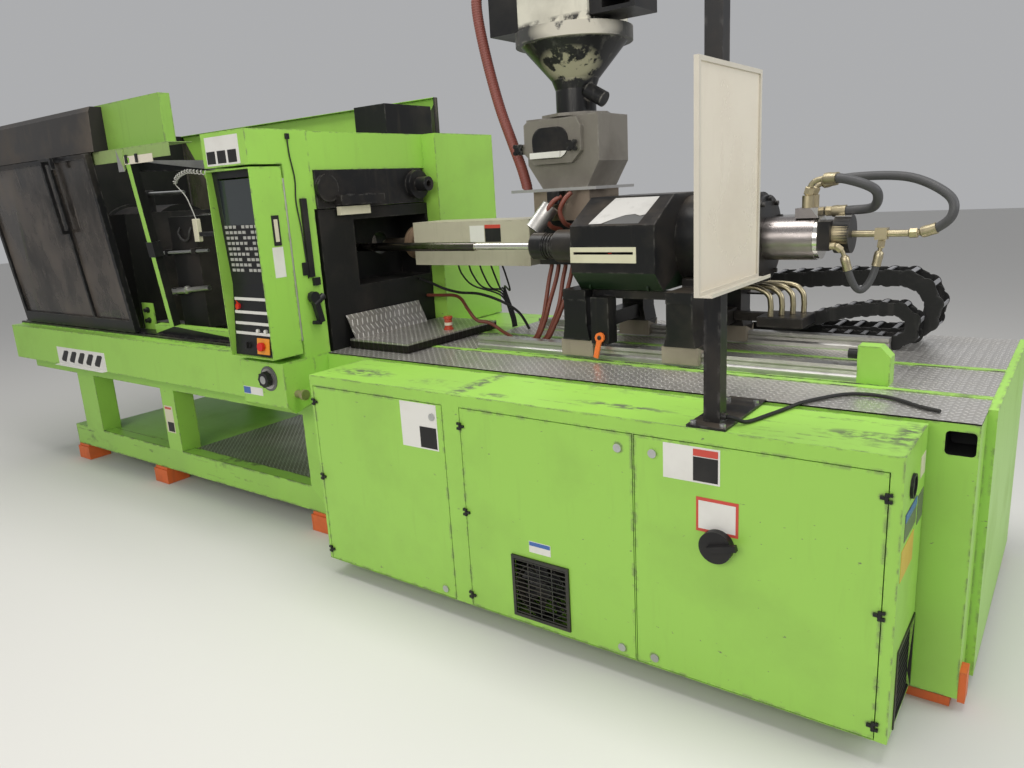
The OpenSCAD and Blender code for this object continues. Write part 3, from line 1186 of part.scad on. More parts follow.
// Piston in the injection cylinder, with the drive shaft and the pointer of the scale
stroke_back = 60;
stroke_fore = 90;
piston_t = 40;
piston_x0 = housing_x1 + 4 + stroke_fore;
pointer_x = housing_x0 + 170;
module injection_piston() color(steel) {
    rod_x(housing_x0 + 150, piston_x0, axis_y, axis_h, 40);
    rod_x(piston_x0, piston_x0 + piston_t, axis_y, axis_h, inj_d / 2 - 34 - bore_gap);
    rod_x(piston_x0 + piston_t, rear_x1 - 35 - stroke_back, axis_y, axis_h, 29);
    color([0.8, 0.1, 0.1]) {
        block(pointer_x + 2, pointer_x + 4, cover_y0 - 6, cover_y0 + 12, axis_h - 24.5, axis_h - 21.5);
        block(pointer_x, pointer_x + 6, cover_y0 + 10, cover_y0 + 16, axis_h - 26, axis_h + 66);
        block(pointer_x, pointer_x + 6, cover_y0 + 10, axis_y, axis_h + 60, axis_h + 66);
        block(pointer_x, pointer_x + 6, axis_y - 6, axis_y + 6, axis_h + 30, axis_h + 66);
    }
}
// Screw with its flights
module screw() color(steel) {
    x0 = barrel_x0 + stroke_fore + 40;
    x1 = housing_x0 + 150 - part_gap;
    rod_x(x0 + 40, x1, axis_y, axis_h, screw_d / 2 - 8);
    translate([x0, axis_y, axis_h]) rotate([0, 90, 0]) cylinder(h = 40, r1 = 3, r2 = screw_d / 2 - 8);
    for (k = [0:14]) rod_x(x0 + 60 + k * 45, x0 + 68 + k * 45, axis_y, axis_h, screw_d / 2);
    rod_x(x1 - 260, x1, axis_y, axis_h, screw_d / 2);
}

// Moves the machine's own axes to the middle of its footprint
mid_x = (left_x + right_x) / 2;
mid_y = (board_y0 + rear_y) / 2;
module in_frame() translate([-mid_x, -mid_y, 0]) children();

in_frame() clamp_frame();
in_frame() injection_base();
in_frame() levelling_feet();
in_frame() tread_plates();
in_frame() step_plate();
in_frame() end_covers();
in_frame() fixed_platen();
in_frame() platen_rails();
in_frame() clamp_cylinder();
in_frame() platen_cover();
in_frame() rear_covers();
in_frame() platen_drive();
in_frame() gate_frame();
in_frame() hood();
in_frame() upper_box();
in_frame() console_post();
in_frame() knob_box();
in_frame() cabinet_shell();
in_frame() switchgear();
in_frame() mast();
in_frame() whiteboard();
in_frame() injection_rails();
in_frame() stop_block();
in_frame() carriage_rod();
in_frame() chain_front();
in_frame() chain_rear();
in_frame() hand_gun();
in_frame() mast_cable();
in_frame() moving_platen();
in_frame() clamp_ram();
in_frame() ejector();
in_frame() gate_door();
in_frame() gate_panes();
in_frame() carriage_frame();
in_frame() injection_housing();
in_frame() injection_cylinder();
in_frame() rear_cylinder();
in_frame() traverse_cylinder();
in_frame() barrel();
in_frame() barrel_guard();
in_frame() nozzle();
in_frame() throat_block();
in_frame() hopper();
in_frame() hydraulic_hoses();
in_frame() water_hoses();
in_frame() feed_hose();
in_frame() carriage_lever();
in_frame() injection_piston();
in_frame() screw();
in_frame() console_housing();
in_frame() console_panel();
in_frame() e_stop();
in_frame() selector();
in_frame() flow_knob();
in_frame() door_1();
in_frame() door_2();
in_frame() door_3();
in_frame() fan_grille();
in_frame() fan();
in_frame() main_switch();
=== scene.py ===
import json
import math
import bpy
import bmesh
from mathutils import Matrix, Vector


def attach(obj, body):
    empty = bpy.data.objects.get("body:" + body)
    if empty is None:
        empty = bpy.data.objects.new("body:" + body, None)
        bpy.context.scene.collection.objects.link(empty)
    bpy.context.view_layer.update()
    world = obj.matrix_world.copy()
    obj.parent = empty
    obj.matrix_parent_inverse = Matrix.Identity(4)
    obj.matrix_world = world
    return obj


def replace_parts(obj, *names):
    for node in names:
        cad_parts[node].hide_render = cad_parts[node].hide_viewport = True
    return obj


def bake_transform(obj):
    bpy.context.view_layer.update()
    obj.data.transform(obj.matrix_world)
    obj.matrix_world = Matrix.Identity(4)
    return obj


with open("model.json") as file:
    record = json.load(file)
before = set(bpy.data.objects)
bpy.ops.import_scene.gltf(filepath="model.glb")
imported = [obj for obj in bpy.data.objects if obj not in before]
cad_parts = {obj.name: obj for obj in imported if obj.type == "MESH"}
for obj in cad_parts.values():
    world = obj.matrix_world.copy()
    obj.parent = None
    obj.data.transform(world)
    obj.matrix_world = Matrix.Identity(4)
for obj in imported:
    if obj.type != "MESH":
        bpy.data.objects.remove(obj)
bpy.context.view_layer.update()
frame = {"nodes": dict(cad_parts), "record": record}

# The machine's own axes: x = 0 at the cabinet's right end, y = 0 at its front, z = 0 on the floor.
# Points are in metres. Boxes of solid, plates and tinted regions are in millimetres.
CABINET_END_X = 2.695
CABINET_FRONT_Y = -0.7565
DECK = 0.900
PLATEN_X = -2.550
AXIS_Y = 0.965
AXIS_Z = 1.365
MM = 1000
NOISE_ROUGHNESS = 0.6


def at(x, y, z):
    """A point given in the machine's own axes, in the row frame."""
    return Vector((x + CABINET_END_X, y + CABINET_FRONT_Y, z))


# Shader helpers
def surface(mat):
    """The inputs of the surface shader."""
    return mat.node_tree.nodes["Principled BSDF"].inputs


def new_material(name, color, rough, metallic=0.0):
    mat = bpy.data.materials.new(name)
    mat.use_nodes = True
    surface(mat)["Base Color"].default_value = (*color, 1.0)
    surface(mat)["Roughness"].default_value = rough
    surface(mat)["Metallic"].default_value = metallic
    mat.diffuse_color = (*color, 1.0)
    return mat


def node(mat, kind, **values):
    made = mat.node_tree.nodes.new("ShaderNode" + kind)
    for key, value in values.items():
        setattr(made, key, value)
    return made


def link(mat, source, target):
    mat.node_tree.links.new(source, target)


def feed(mat, name, source):
    link(mat, source, surface(mat)[name])


def maths(mat, operation, a, b=None, clamp=False):
    made = node(mat, "Math", operation=operation, use_clamp=clamp)
    for i, value in enumerate((a, b)):
        if value is None:
            continue
        if isinstance(value, (int, float)):
            made.inputs[i].default_value = value
        else:
            link(mat, value, made.inputs[i])
    return made.outputs[0]


def times(mat, a, b):
    return maths(mat, "MULTIPLY", a, b)


def plus(mat, a, b, clamp=False):
    return maths(mat, "ADD", a, b, clamp)


def minus(mat, a, b):
    return maths(mat, "SUBTRACT", a, b)


def coordinates(mat, scale=(1, 1, 1)):
    coord = node(mat, "TexCoord")
    mapping = node(mat, "Mapping")
    mapping.inputs["Scale"].default_value = scale
    link(mat, coord.outputs["Object"], mapping.inputs["Vector"])
    return mapping.outputs["Vector"]


def split_axes(mat, vector):
    split = node(mat, "SeparateXYZ")
    link(mat, vector, split.inputs[0])
    return split.outputs


def between(mat, value, low, high):
    """0 at low, 1 at high, even in between."""
    made = node(mat, "MapRange", clamp=True)
    made.inputs["From Min"].default_value = low
    made.inputs["From Max"].default_value = high
    link(mat, value, made.inputs["Value"])
    return made.outputs["Result"]


def specks(mat, low, high, scale, detail, stretch=(1, 1, 1)):
    """Noise cut off at low and high."""
    made = node(mat, "TexNoise")
    made.inputs["Scale"].default_value = scale
    made.inputs["Detail"].default_value = detail
    made.inputs["Roughness"].default_value = NOISE_ROUGHNESS
    link(mat, coordinates(mat, stretch), made.inputs["Vector"])
    return between(mat, made.outputs["Fac"], low, high)


def mix(mat, fac, a, b):
    made = node(mat, "Mix", data_type="RGBA")
    for socket, value in ((made.inputs[0], fac), (made.inputs[6], a), (made.inputs[7], b)):
        if isinstance(value, (int, float)):
            socket.default_value = value
        elif isinstance(value, tuple):
            socket.default_value = (*value, 1.0)
        else:
            link(mat, value, socket)
    return made.outputs[2]


def edge_mask(mat, radius):
    """Bright where the surface turns a corner within that radius."""
    bevel = node(mat, "Bevel", samples=4)
    bevel.inputs["Radius"].default_value = radius
    geometry = node(mat, "NewGeometry")
    dot = node(mat, "VectorMath", operation="DOT_PRODUCT")
    link(mat, bevel.outputs["Normal"], dot.inputs[0])
    link(mat, geometry.outputs["Normal"], dot.inputs[1])
    return between(mat, dot.outputs["Value"], 0.985, 0.90)


def up_mask(mat):
    """Bright on faces that look up."""
    geometry = node(mat, "NewGeometry")
    return between(mat, split_axes(mat, geometry.outputs["Normal"])["Z"], 0.7, 0.95)


def patch_mask(mat, axes, centre, reach, full):
    """1 round a point of the row frame, fading out to its reach from a squared share of it."""
    total = None
    for axis, middle, half in zip("XYZ", centre, reach):
        away = maths(mat, "DIVIDE", minus(mat, axes[axis], middle), half)
        square = maths(mat, "POWER", away, 2.0)
        total = square if total is None else plus(mat, total, square)
    return between(mat, total, 1.0, full)


# Finishes
NEARLY_BLACK = 0.09
DULL_SPECULAR = 0.22
NICKED_EDGE = 0.7
STREAK_SHARE = 0.5
CHIP_REACH = 0.012


def painted(name, color, rough, dirt, grime, top_grime=0.0, edge=0.0, worn=None):
    """Paint with grime in soft patches and run-down streaks, dirty upper faces, nicks and chipped edges."""
    mat = new_material(name, color, rough)
    if max(color) < NEARLY_BLACK:
        surface(mat)["Specular IOR Level"].default_value = DULL_SPECULAR
    patches = specks(mat, 0.50, 0.75, 2.2, 6.0)
    streaks = specks(mat, 0.55, 0.8, 9.0, 5.0, (3, 3, 0.35))
    dirty = maths(mat, "MAXIMUM", patches, times(mat, streaks, STREAK_SHARE))
    soft = times(mat, dirty, grime)
    out = mix(mat, soft, color, dirt)
    if top_grime:
        smear = specks(mat, 0.44, 0.62, 5.0, 8.0, (0.5, 1.6, 1))
        out = mix(mat, times(mat, times(mat, up_mask(mat), smear), top_grime), out, dirt)
    if edge > NICKED_EDGE:
        nicks = specks(mat, 0.715, 0.74, 34.0, 3.0, (1, 1, 2.4))
        out = mix(mat, times(mat, nicks, 0.8), out, worn)
    if edge:
        chips = specks(mat, 0.47, 0.60, 26.0, 7.0)
        chipped = times(mat, edge_mask(mat, CHIP_REACH), chips)
        out = mix(mat, times(mat, chipped, edge), out, worn)
    feed(mat, "Base Color", out)
    feed(mat, "Roughness", plus(mat, times(mat, soft, 0.5), rough, clamp=True))
    return mat


def metal(name, color, rough, grime, dirt=(0.10, 0.08, 0.06), scale=6.0, stretch=(1, 1, 1)):
    """Bare metal, duller where grime lies."""
    mat = new_material(name, color, rough, 1.0)
    patches = times(mat, specks(mat, 0.45, 0.72, scale, 7.0, stretch), grime)
    feed(mat, "Base Color", mix(mat, patches, color, dirt))
    feed(mat, "Roughness", plus(mat, times(mat, patches, 0.4), rough, clamp=True))
    feed(mat, "Metallic", minus(mat, 1.0, times(mat, patches, 0.7)))
    return mat


TREAD_PITCH = 0.032
LOZENGE_LONG = 0.46
LOZENGE_SHORT = 0.15
RAISED = (0.74, 0.72, 0.69)
SHEET_UNDERSIDE = (0.944, 0.940)
UNDER_SHADE = (0.03, 0.027, 0.024)


def lozenge(mat, along, across):
    """One raised lozenge of the treadplate, 1 in its middle and 0 at its outline."""
    a = maths(mat, "POWER", maths(mat, "DIVIDE", along, LOZENGE_LONG), 2.0)
    b = maths(mat, "POWER", maths(mat, "DIVIDE", across, LOZENGE_SHORT), 2.0)
    return maths(mat, "SUBTRACT", 1.0, plus(mat, a, b), clamp=True)


def treadplate(name):
    """Sheet with raised lozenges at right angles to each other in turn, lighter towards the right end, with
    painted shade towards the left.
    """
    mat = new_material(name, (0.40, 0.39, 0.37), 0.38, 0.85)
    axes = split_axes(mat, coordinates(mat))
    u = maths(mat, "DIVIDE", plus(mat, axes["X"], axes["Y"]), TREAD_PITCH)
    v = maths(mat, "DIVIDE", minus(mat, axes["X"], axes["Y"]), TREAD_PITCH)
    rows = plus(mat, maths(mat, "FLOOR", u), maths(mat, "FLOOR", v))
    odd = maths(mat, "PINGPONG", rows, 1.0)
    along = minus(mat, maths(mat, "FRACT", u), 0.5)
    across = minus(mat, maths(mat, "FRACT", v), 0.5)
    one = times(mat, lozenge(mat, along, across), odd)
    two = times(mat, lozenge(mat, across, along), minus(mat, 1.0, odd))
    height = maths(mat, "MINIMUM", plus(mat, one, two), 0.5)
    bump = node(mat, "Bump")
    bump.inputs["Strength"].default_value = 0.9
    bump.inputs["Distance"].default_value = 0.004
    link(mat, height, bump.inputs["Height"])
    feed(mat, "Normal", bump.outputs["Normal"])
    dirty = times(mat, specks(mat, 0.40, 0.70, 3.0, 8.0), 0.65)
    # Painted shade: both sheet colours run from dark at the left end to pale at the right.
    painted_light_to_right = between(mat, axes["X"], -1.2, 2.5)
    clean_with_painted_shade = mix(mat, painted_light_to_right, (0.30, 0.28, 0.26), (0.62, 0.60, 0.57))
    foul_with_painted_shade = mix(mat, painted_light_to_right, (0.13, 0.115, 0.095), (0.34, 0.32, 0.29))
    sheet = mix(mat, between(mat, height, 0.0, 0.5), mix(mat, dirty, clean_with_painted_shade, foul_with_painted_shade), RAISED)
    flank = minus(mat, 1.0, up_mask(mat))
    below = between(mat, axes["Z"], *SHEET_UNDERSIDE)
    feed(mat, "Base Color", mix(mat, times(mat, flank, below), sheet, UNDER_SHADE))
    feed(mat, "Roughness", plus(mat, times(mat, dirty, 0.35), 0.34))
    return mat


def smoked_glass(name):
    """Dark pane that lets a little through, with smears and drips."""
    mat = new_material(name, (0.045, 0.042, 0.040), 0.12)
    smears = specks(mat, 0.40, 0.72, 3.5, 9.0, (1, 1, 0.6))
    drips = specks(mat, 0.58, 0.78, 16.0, 5.0, (2, 2, 0.16))
    dirty = maths(mat, "MAXIMUM", smears, drips)
    feed(mat, "Base Color", mix(mat, dirty, (0.034, 0.030, 0.027), (0.150, 0.125, 0.105)))
    feed(mat, "Roughness", plus(mat, times(mat, dirty, 0.5), 0.12))
    feed(mat, "Alpha", plus(mat, times(mat, dirty, 0.17), 0.78))
    return mat


GREEN = (0.315, 0.59, 0.088)
DULLED_GREEN = (0.20, 0.31, 0.09)
RUBBED_GREEN = (0.085, 0.083, 0.068)
# Worn places of the cabinet's top: middle x and y in the machine's axes, reach in x and y
WORN_PLACES = (
    (-0.12, 0.135, 0.16, 0.05),
    (-1.49, 0.16, 0.045, 0.26),
    (-2.06, 0.13, 0.18, 0.07),
    (-1.33, 0.055, 0.07, 0.03),
    (-0.86, 0.12, 0.22, 0.03),
    (-0.03, 0.18, 0.04, 0.16),
)


def scuffed(name):
    """Walked-on green: long dark scuffs along the machine, rubbed patches and chipped edges."""
    mat = new_material(name, GREEN, 0.42)
    patches = specks(mat, 0.56, 0.66, 2.6, 9.0, (0.8, 1.6, 1.6))
    lines = specks(mat, 0.60, 0.68, 7.0, 6.0, (0.35, 5.0, 5.0))
    broken = specks(mat, 0.44, 0.60, 22.0, 8.0)
    rubbed = times(mat, maths(mat, "MAXIMUM", patches, lines), broken)
    chips = times(mat, edge_mask(mat, 0.02), specks(mat, 0.42, 0.56, 14.0, 8.0))
    worn = maths(mat, "MAXIMUM", times(mat, rubbed, 0.8), chips)
    axes = split_axes(mat, coordinates(mat))
    for x, y, *reach in WORN_PLACES:
        patch = patch_mask(mat, axes, at(x, y, 0), reach, 0.1)
        spotty = specks(mat, 0.56, 0.44, 30.0, 9.0, (0.7, 1.4, 1))
        worn = maths(mat, "MAXIMUM", worn, times(mat, patch, times(mat, spotty, 0.9)))
    fading = times(mat, specks(mat, 0.4, 0.8, 1.6, 6.0), 0.4)
    dull = mix(mat, fading, GREEN, DULLED_GREEN)
    feed(mat, "Base Color", mix(mat, worn, dull, RUBBED_GREEN))
    feed(mat, "Roughness", plus(mat, times(mat, worn, 0.3), 0.42))
    return mat


# Colour, roughness, dirt colour, grime, grime on upper faces, edge wear, worn colour
PAINTS = {
    "green_paint": (GREEN, 0.38, (0.13, 0.16, 0.05), 0.22, 0.0, 0.85, (0.12, 0.11, 0.09)),
    "hood_paint": ((0.035, 0.032, 0.030), 0.32, (0.16, 0.13, 0.10), 0.6, 0.5, 0.3, (0.2, 0.19, 0.17)),
    "black_paint": ((0.012, 0.012, 0.013), 0.30, (0.10, 0.08, 0.06), 0.4, 0.55, 0.35, (0.2, 0.19, 0.18)),
    "dark_steel": ((0.012, 0.012, 0.012), 0.42, (0.05, 0.04, 0.035), 0.6, 0.3, 0.3, (0.15, 0.14, 0.12)),
    "beige_paint": ((0.46, 0.43, 0.33), 0.45, (0.16, 0.12, 0.08), 0.5, 0.3, 0.4, (0.2, 0.17, 0.13)),
    "cast_grey": ((0.17, 0.155, 0.13), 0.5, (0.05, 0.04, 0.03), 0.6, 0.3, 0.4, (0.35, 0.33, 0.3)),
    "foot_orange": ((0.70, 0.14, 0.03), 0.5, (0.12, 0.06, 0.04), 0.6, 0.3, 0.4, (0.2, 0.1, 0.06)),
    "tag_orange": ((0.85, 0.19, 0.03), 0.4, (0.3, 0.08, 0.03), 0.2, 0.0, 0.1, (0.4, 0.2, 0.1)),
    "hopper_cream": ((0.60, 0.58, 0.49), 0.45, (0.10, 0.09, 0.07), 0.55, 0.3, 0.5, (0.12, 0.11, 0.09)),
    "hose_rubber": ((0.030, 0.030, 0.031), 0.45, (0.10, 0.09, 0.08), 0.4),
    "hose_red": ((0.17, 0.045, 0.028), 0.45, (0.07, 0.05, 0.04), 0.5),
    "hose_ribbed": ((0.21, 0.055, 0.042), 0.5, (0.07, 0.05, 0.04), 0.5),
    "chain_plastic": ((0.018, 0.018, 0.018), 0.42, (0.14, 0.13, 0.12), 0.45, 0.6, 0.2, (0.2, 0.2, 0.2)),
    "panel_black": ((0.016, 0.016, 0.018), 0.34, (0.06, 0.055, 0.05), 0.4, 0.0, 0.1, (0.1, 0.1, 0.1)),
    "button_red": ((0.62, 0.02, 0.015), 0.25, (0.2, 0.02, 0.02), 0.2),
    "knob_black": ((0.015, 0.015, 0.016), 0.35, (0.08, 0.07, 0.06), 0.3, 0.0, 0.1, (0.1, 0.1, 0.1)),
    "board_white": ((0.74, 0.68, 0.56), 0.22, (0.50, 0.42, 0.33), 0.35),
    "cable_black": ((0.018, 0.018, 0.018), 0.5, (0.12, 0.11, 0.10), 0.4),
    "key_grey": ((0.40, 0.40, 0.37), 0.4, (0.15, 0.13, 0.1), 0.5),
    "strip_white": ((0.70, 0.69, 0.65), 0.4, (0.25, 0.2, 0.16), 0.4),
    "stop_yellow": ((0.80, 0.30, 0.03), 0.4, (0.3, 0.1, 0.03), 0.3),
    "plate_white": ((0.72, 0.71, 0.67), 0.35, (0.30, 0.26, 0.22), 0.35),
    "plate_black": ((0.02, 0.02, 0.02), 0.35, (0.1, 0.09, 0.08), 0.3),
    "plate_red": ((0.55, 0.06, 0.04), 0.35, (0.3, 0.1, 0.08), 0.2),
    "plate_yellow": ((0.62, 0.42, 0.06), 0.4, (0.3, 0.2, 0.08), 0.4),
    "plate_blue": ((0.05, 0.13, 0.38), 0.35, (0.1, 0.1, 0.2), 0.2),
    "plate_cream": ((0.66, 0.62, 0.47), 0.4, (0.25, 0.2, 0.13), 0.4),
    "funnel_black": ((0.018, 0.018, 0.019), 0.32, (0.50, 0.47, 0.41), 0.30, 0.4, 0.6, (0.42, 0.40, 0.35)),
    # Near black with a little grime: painted shade for the faces round the dark mould space.
    "shade_black": ((0.010, 0.010, 0.010), 0.5, (0.035, 0.03, 0.025), 0.6, 0.4),
    "frame_cream": ((0.60, 0.56, 0.47), 0.35, (0.35, 0.3, 0.25), 0.4),
    "dusty_green": ((0.27, 0.40, 0.12), 0.5, (0.20, 0.19, 0.12), 0.75, 0.0, 0.6, (0.1, 0.1, 0.08)),
    "dull_green": ((0.245, 0.44, 0.075), 0.4, (0.10, 0.13, 0.04), 0.4, 0.0, 0.8, (0.12, 0.11, 0.09)),
    "rim_dark": ((0.05, 0.05, 0.048), 0.4, (0.42, 0.39, 0.33), 0.45, 0.4, 0.5, (0.4, 0.38, 0.33)),
    "dark_green": ((0.008, 0.020, 0.009), 0.34, (0.05, 0.05, 0.04), 0.35, 0.3, 0.3, (0.2, 0.19, 0.18)),
    "shoe_beige": ((0.30, 0.26, 0.20), 0.42, (0.10, 0.08, 0.06), 0.55, 0.0, 0.5, (0.12, 0.1, 0.08)),
    "bar_grey": ((0.20, 0.20, 0.21), 0.45, (0.06, 0.06, 0.055), 0.5),
    "hose_grey": ((0.075, 0.075, 0.078), 0.42, (0.16, 0.15, 0.14), 0.45),
    "wire_pale": ((0.42, 0.41, 0.38), 0.45, (0.16, 0.15, 0.14), 0.4),
    "sticker": ((0.46, 0.45, 0.43), 0.5, (0.12, 0.11, 0.10), 0.6),
    "clear_red": ((0.45, 0.06, 0.03), 0.25, (0.2, 0.05, 0.03), 0.4),
}
# Colour, roughness, grime, and for the burnt steel also dirt colour, grain and stretch of the grime
METALS = {
    "bright_steel": ((0.55, 0.54, 0.52), 0.32, 0.5),
    "chrome_rod": ((0.72, 0.70, 0.66), 0.14, 0.25),
    "heat_steel": ((0.33, 0.27, 0.21), 0.42, 0.6),
    "zinc_parts": ((0.40, 0.41, 0.40), 0.4, 0.5),
    "bare_zinc": ((0.55, 0.56, 0.55), 0.35, 0.4),
    "brass": ((0.55, 0.47, 0.30), 0.35, 0.45),
    "pipe_gold": ((0.47, 0.41, 0.27), 0.36, 0.5),
    "grille_dark": ((0.07, 0.07, 0.067), 0.4, 0.5),
    "cylinder_steel": ((0.33, 0.30, 0.29), 0.27, 0.35),
    "oiled_steel": ((0.10, 0.09, 0.08), 0.22, 0.5),
    "burnt_steel": ((0.42, 0.30, 0.20), 0.4, 0.85, (0.09, 0.05, 0.03), 9.0, (3, 0.6, 0.6)),
}
# Colour and roughness
PLAIN = {
    "screen_grey": ((0.035, 0.042, 0.045), 0.08),
    "lamp_grey": ((0.10, 0.10, 0.10), 0.3),
    # Black for the insides of ports, holes, bores and the space behind the vent: painted shade.
    "dark_hole": ((0.006, 0.006, 0.006), 0.7),
}
FINISH = {name: painted(name, *values) for name, values in PAINTS.items()}
FINISH.update({name: metal(name, *values) for name, values in METALS.items()})
FINISH.update({name: new_material(name, *values) for name, values in PLAIN.items()})
FINISH.update({name: make(name) for name, make in (
    ("treadplate", treadplate), ("smoked_pane", smoked_glass), ("scuffed_green", scuffed))})

# Worn and dirty places of the hopper: finish, middle in the machine's axes, reach, colour, grain, limits
HOPPER_PLACES = (
    ("funnel_black", (-1.45, 0.83, 2.075), (0.15, 0.15, 0.075), (0.36, 0.34, 0.24), 16.0, 0.47, 0.52),
    ("rim_dark", (-1.36, 0.75, 2.20), (0.22, 0.22, 0.06), (0.50, 0.47, 0.40), 14.0, 0.36, 0.44),
    ("hopper_cream", (-1.45, 0.80, 2.225), (0.40, 0.40, 0.035), (0.03, 0.028, 0.025), 14.0, 0.46, 0.54),
    ("hopper_cream", (-1.47, 0.80, 2.42), (0.09, 0.10, 0.05), (0.10, 0.08, 0.05), 22.0, 0.46, 0.54),
)


def add_patch(mat, centre, reach, color, grain, low, high):
    """Place of another colour round a point of the machine, broken up by noise."""
    source = surface(mat)["Base Color"].links[0].from_socket
    inside = patch_mask(mat, split_axes(mat, coordinates(mat)), at(*centre), reach, 0.35)
    spotty = specks(mat, low, high, grain, 6.0)
    feed(mat, "Base Color", mix(mat, times(mat, inside, spotty), source, color))


for place in HOPPER_PLACES:
    add_patch(FINISH[place[0]], *place[1:])


def dress_nodes():
    """Gives each CAD node the finish that its record names."""
    slots = {part["node"]: part["material_slot"] for part in frame["record"]["subparts"]}
    for name, obj in frame["nodes"].items():
        obj.data.materials.clear()
        obj.data.materials.append(FINISH[slots[name]])


FULL = (-1e9, 1e9)


def region(x=FULL, y=FULL, z=FULL):
    """A box in the machine's own axes, in millimetres."""
    return x, y, z


def tint(name, finish, *regions, test=None):
    """Gives the faces of a node whose middles lie in a region, or pass the test, another finish."""
    mesh = frame["nodes"][name].data
    mesh.materials.append(FINISH[finish])
    index = len(mesh.materials) - 1
    origin = at(0, 0, 0)
    for face in mesh.polygons:
        c = (face.center - origin) * MM
        inside = any(all(lo <= c[i] <= hi for i, (lo, hi) in enumerate(r)) for r in regions)
        if inside or (test and test(c)):
            face.material_index = index


PANEL_BEND_Y = 106
PANEL_BEND_Z = 1250
UPPER_LEAN = 27 / 498
LOWER_LEAN = 0.1
CABINET_TOP = 899


def plane_of_panel(z):
    """How far forward the front of the console panel stands at a height, in millimetres."""
    above = z - PANEL_BEND_Z
    return PANEL_BEND_Y - above * (UPPER_LEAN if above > 0 else -LOWER_LEAN)


def stands_out(c):
    """Whether a face of the console panel stands before its sheet."""
    return c.y < plane_of_panel(c.z) - 1


def tint_console():
    tint("console_panel", "key_grey", test=lambda c: c.z > 1290 and stands_out(c))
    tint("console_panel", "strip_white", test=lambda c: c.z < PANEL_BEND_Z and stands_out(c))
    tint("console_panel", "screen_grey", region((-2835, -2585), (85, 100), (1515, 1730)))
    tint("console_panel", "button_red", region((-2840, -2804), (60, 98), (1134, 1170)))
    tint("console_panel", "stop_yellow", region((-2680, -2616), (50, 78), (944, 1010)))
    tint("console_housing", "knob_black", region(x=(-2553.5, -2540)))
    tint("console_post", "knob_black", region(x=(-2549.5, -2500)))
    tint("console_post", "bright_steel", region((-2558, -2549), (215, 221.9)))
    tint("knob_box", "bright_steel", region((-2720, -2600), (80, 89.8), (770, 880)))
    tint("knob_box", "brass", region(x=(-2549.5, -2480)))


def tint_feeding():
    """Whiteboard frame, hopper, funnel and throat."""
    tint("whiteboard", "frame_cream", region(x=(-501.5, -498.5)), region(x=(-491.5, -450)),
         region(z=(0, 1312)), region(z=(1878, 2000)), region(y=(-140, -120)), region(y=(306, 330)))
    tint("hopper", "funnel_black", region(z=(1800, 2169.5)))
    tint("hopper", "knob_black", region(x=(-1900, -1670.5), z=(2223, 2401)),
         region(x=(-1339.5, -1100), z=(2223, 2400)))
    tint("hopper", "bare_zinc", region(x=(-1900, -1670.5), z=(2401, 2450)))
    tint("hopper", "rim_dark", region(z=(2169.5, 2222.5)))
    tint("throat_block", "black_paint", test=lambda c: c.y < AXIS_Y * MM - 148.5 and c.z > 1700)
    tint("throat_block", "strip_white", region(y=(800, 810.5), z=(1719, 1745)))
    tint("throat_block", "bright_steel", region(z=(1580, 1595.5)))


def tint_clamp():
    tint("platen_cover", "black_paint", region(z=(1905.5, 2100)))
    # Painted shade: near black on the cover's faces towards the mould space.
    tint("platen_cover", "shade_black", test=lambda c: c.x < -2869)
    tint("gate_frame", "black_paint", test=lambda c: c.z < 945 and c.y < 345 and c.z > 912.2)
    tint("gate_frame", "bright_steel", region((-3830, -3750), (171, 701), (1837.5, 1861)))
    tint("gate_frame", "black_paint", region((-3830, -3750), (171, 701), (1800, 1837.4)))
    # Painted shade: near black on the frame's face towards the mould space.
    tint("gate_frame", "shade_black", region((-3711, -3709), (100, 330), (950, 1850)))
    tint("gate_frame", "knob_black", region((-3762, -3697), (215, 280), (1376, 1444)))
    tint("gate_frame", "dusty_green", region(z=(1856, 1925)))
    tint("clamp_frame", "scuffed_green", test=lambda c: c.z > CABINET_TOP - 1)
    tint("clamp_frame", "scuffed_green", test=lambda c: c.z < 290 and c.y < 400)
    # Painted shade: near black on the inner faces of the rear covers, round the mould space.
    tint("rear_covers", "shade_black", test=lambda c: c.y < 1641 and c.z < 1960 and -5509 < c.x < -2850)
    tint("rear_covers", "shade_black", region((-5511, -5509), (340, 1611), (900, 2151)))
    tint("rear_covers", "smoked_pane", region(y=(1630, 1642.1), z=(1170, 1830)))
    tint("platen_drive", "plate_cream", region((-2541, -2510), (480, 700), (1525, 1569.5)))
    tint("upper_box", "dull_green", region())
    # Painted shade: near black on the hood's end face.
    tint("hood", "shade_black", region(x=(-4001, -3999)))


def tint_injection():
    tint("rear_cylinder", "cylinder_steel", region(x=(-720, -494)))
    tint("rear_cylinder", "black_paint", region(x=(-476.8, -376), z=(1290, 1440)))
    tint("rear_cylinder", "brass", region(x=(-560, -470), z=(1475.5, 1600)),
         region(x=(-431.8, -400), y=(880, 915)))
    tint("rear_cylinder", "pipe_gold", region(x=(-376, -100)))
    tint("injection_housing", "plate_cream", region(y=(610, 619.9)))
    tint("injection_housing", "dark_green", test=lambda c: c.z < 1264)
    tint("injection_piston", "button_red", region(x=(-1176, -1166), y=(600, 960)))
    tint("carriage_frame", "shoe_beige", test=lambda c: c.z < 972 and c.y < 1300)
    tint("carriage_rod", "oiled_steel", region(x=(-2740, -1881)))
    tint("barrel", "black_paint", test=lambda c: c.x > -1700 and not (c.z > 1460 and c.y > 800))
    tint("barrel", "burnt_steel", region(x=(-2501, -2399)))
    tint("barrel_guard", "burnt_steel", region(x=(-2505, -2400.5)))
    tint("chain_rear", "bar_grey", region(y=(1362, 1488)))
    tint("chain_front", "bar_grey", region(y=(1263, 1331)))
    tint("stop_block", "knob_black", region(x=(-320, -275.9), z=(975, 1020)))


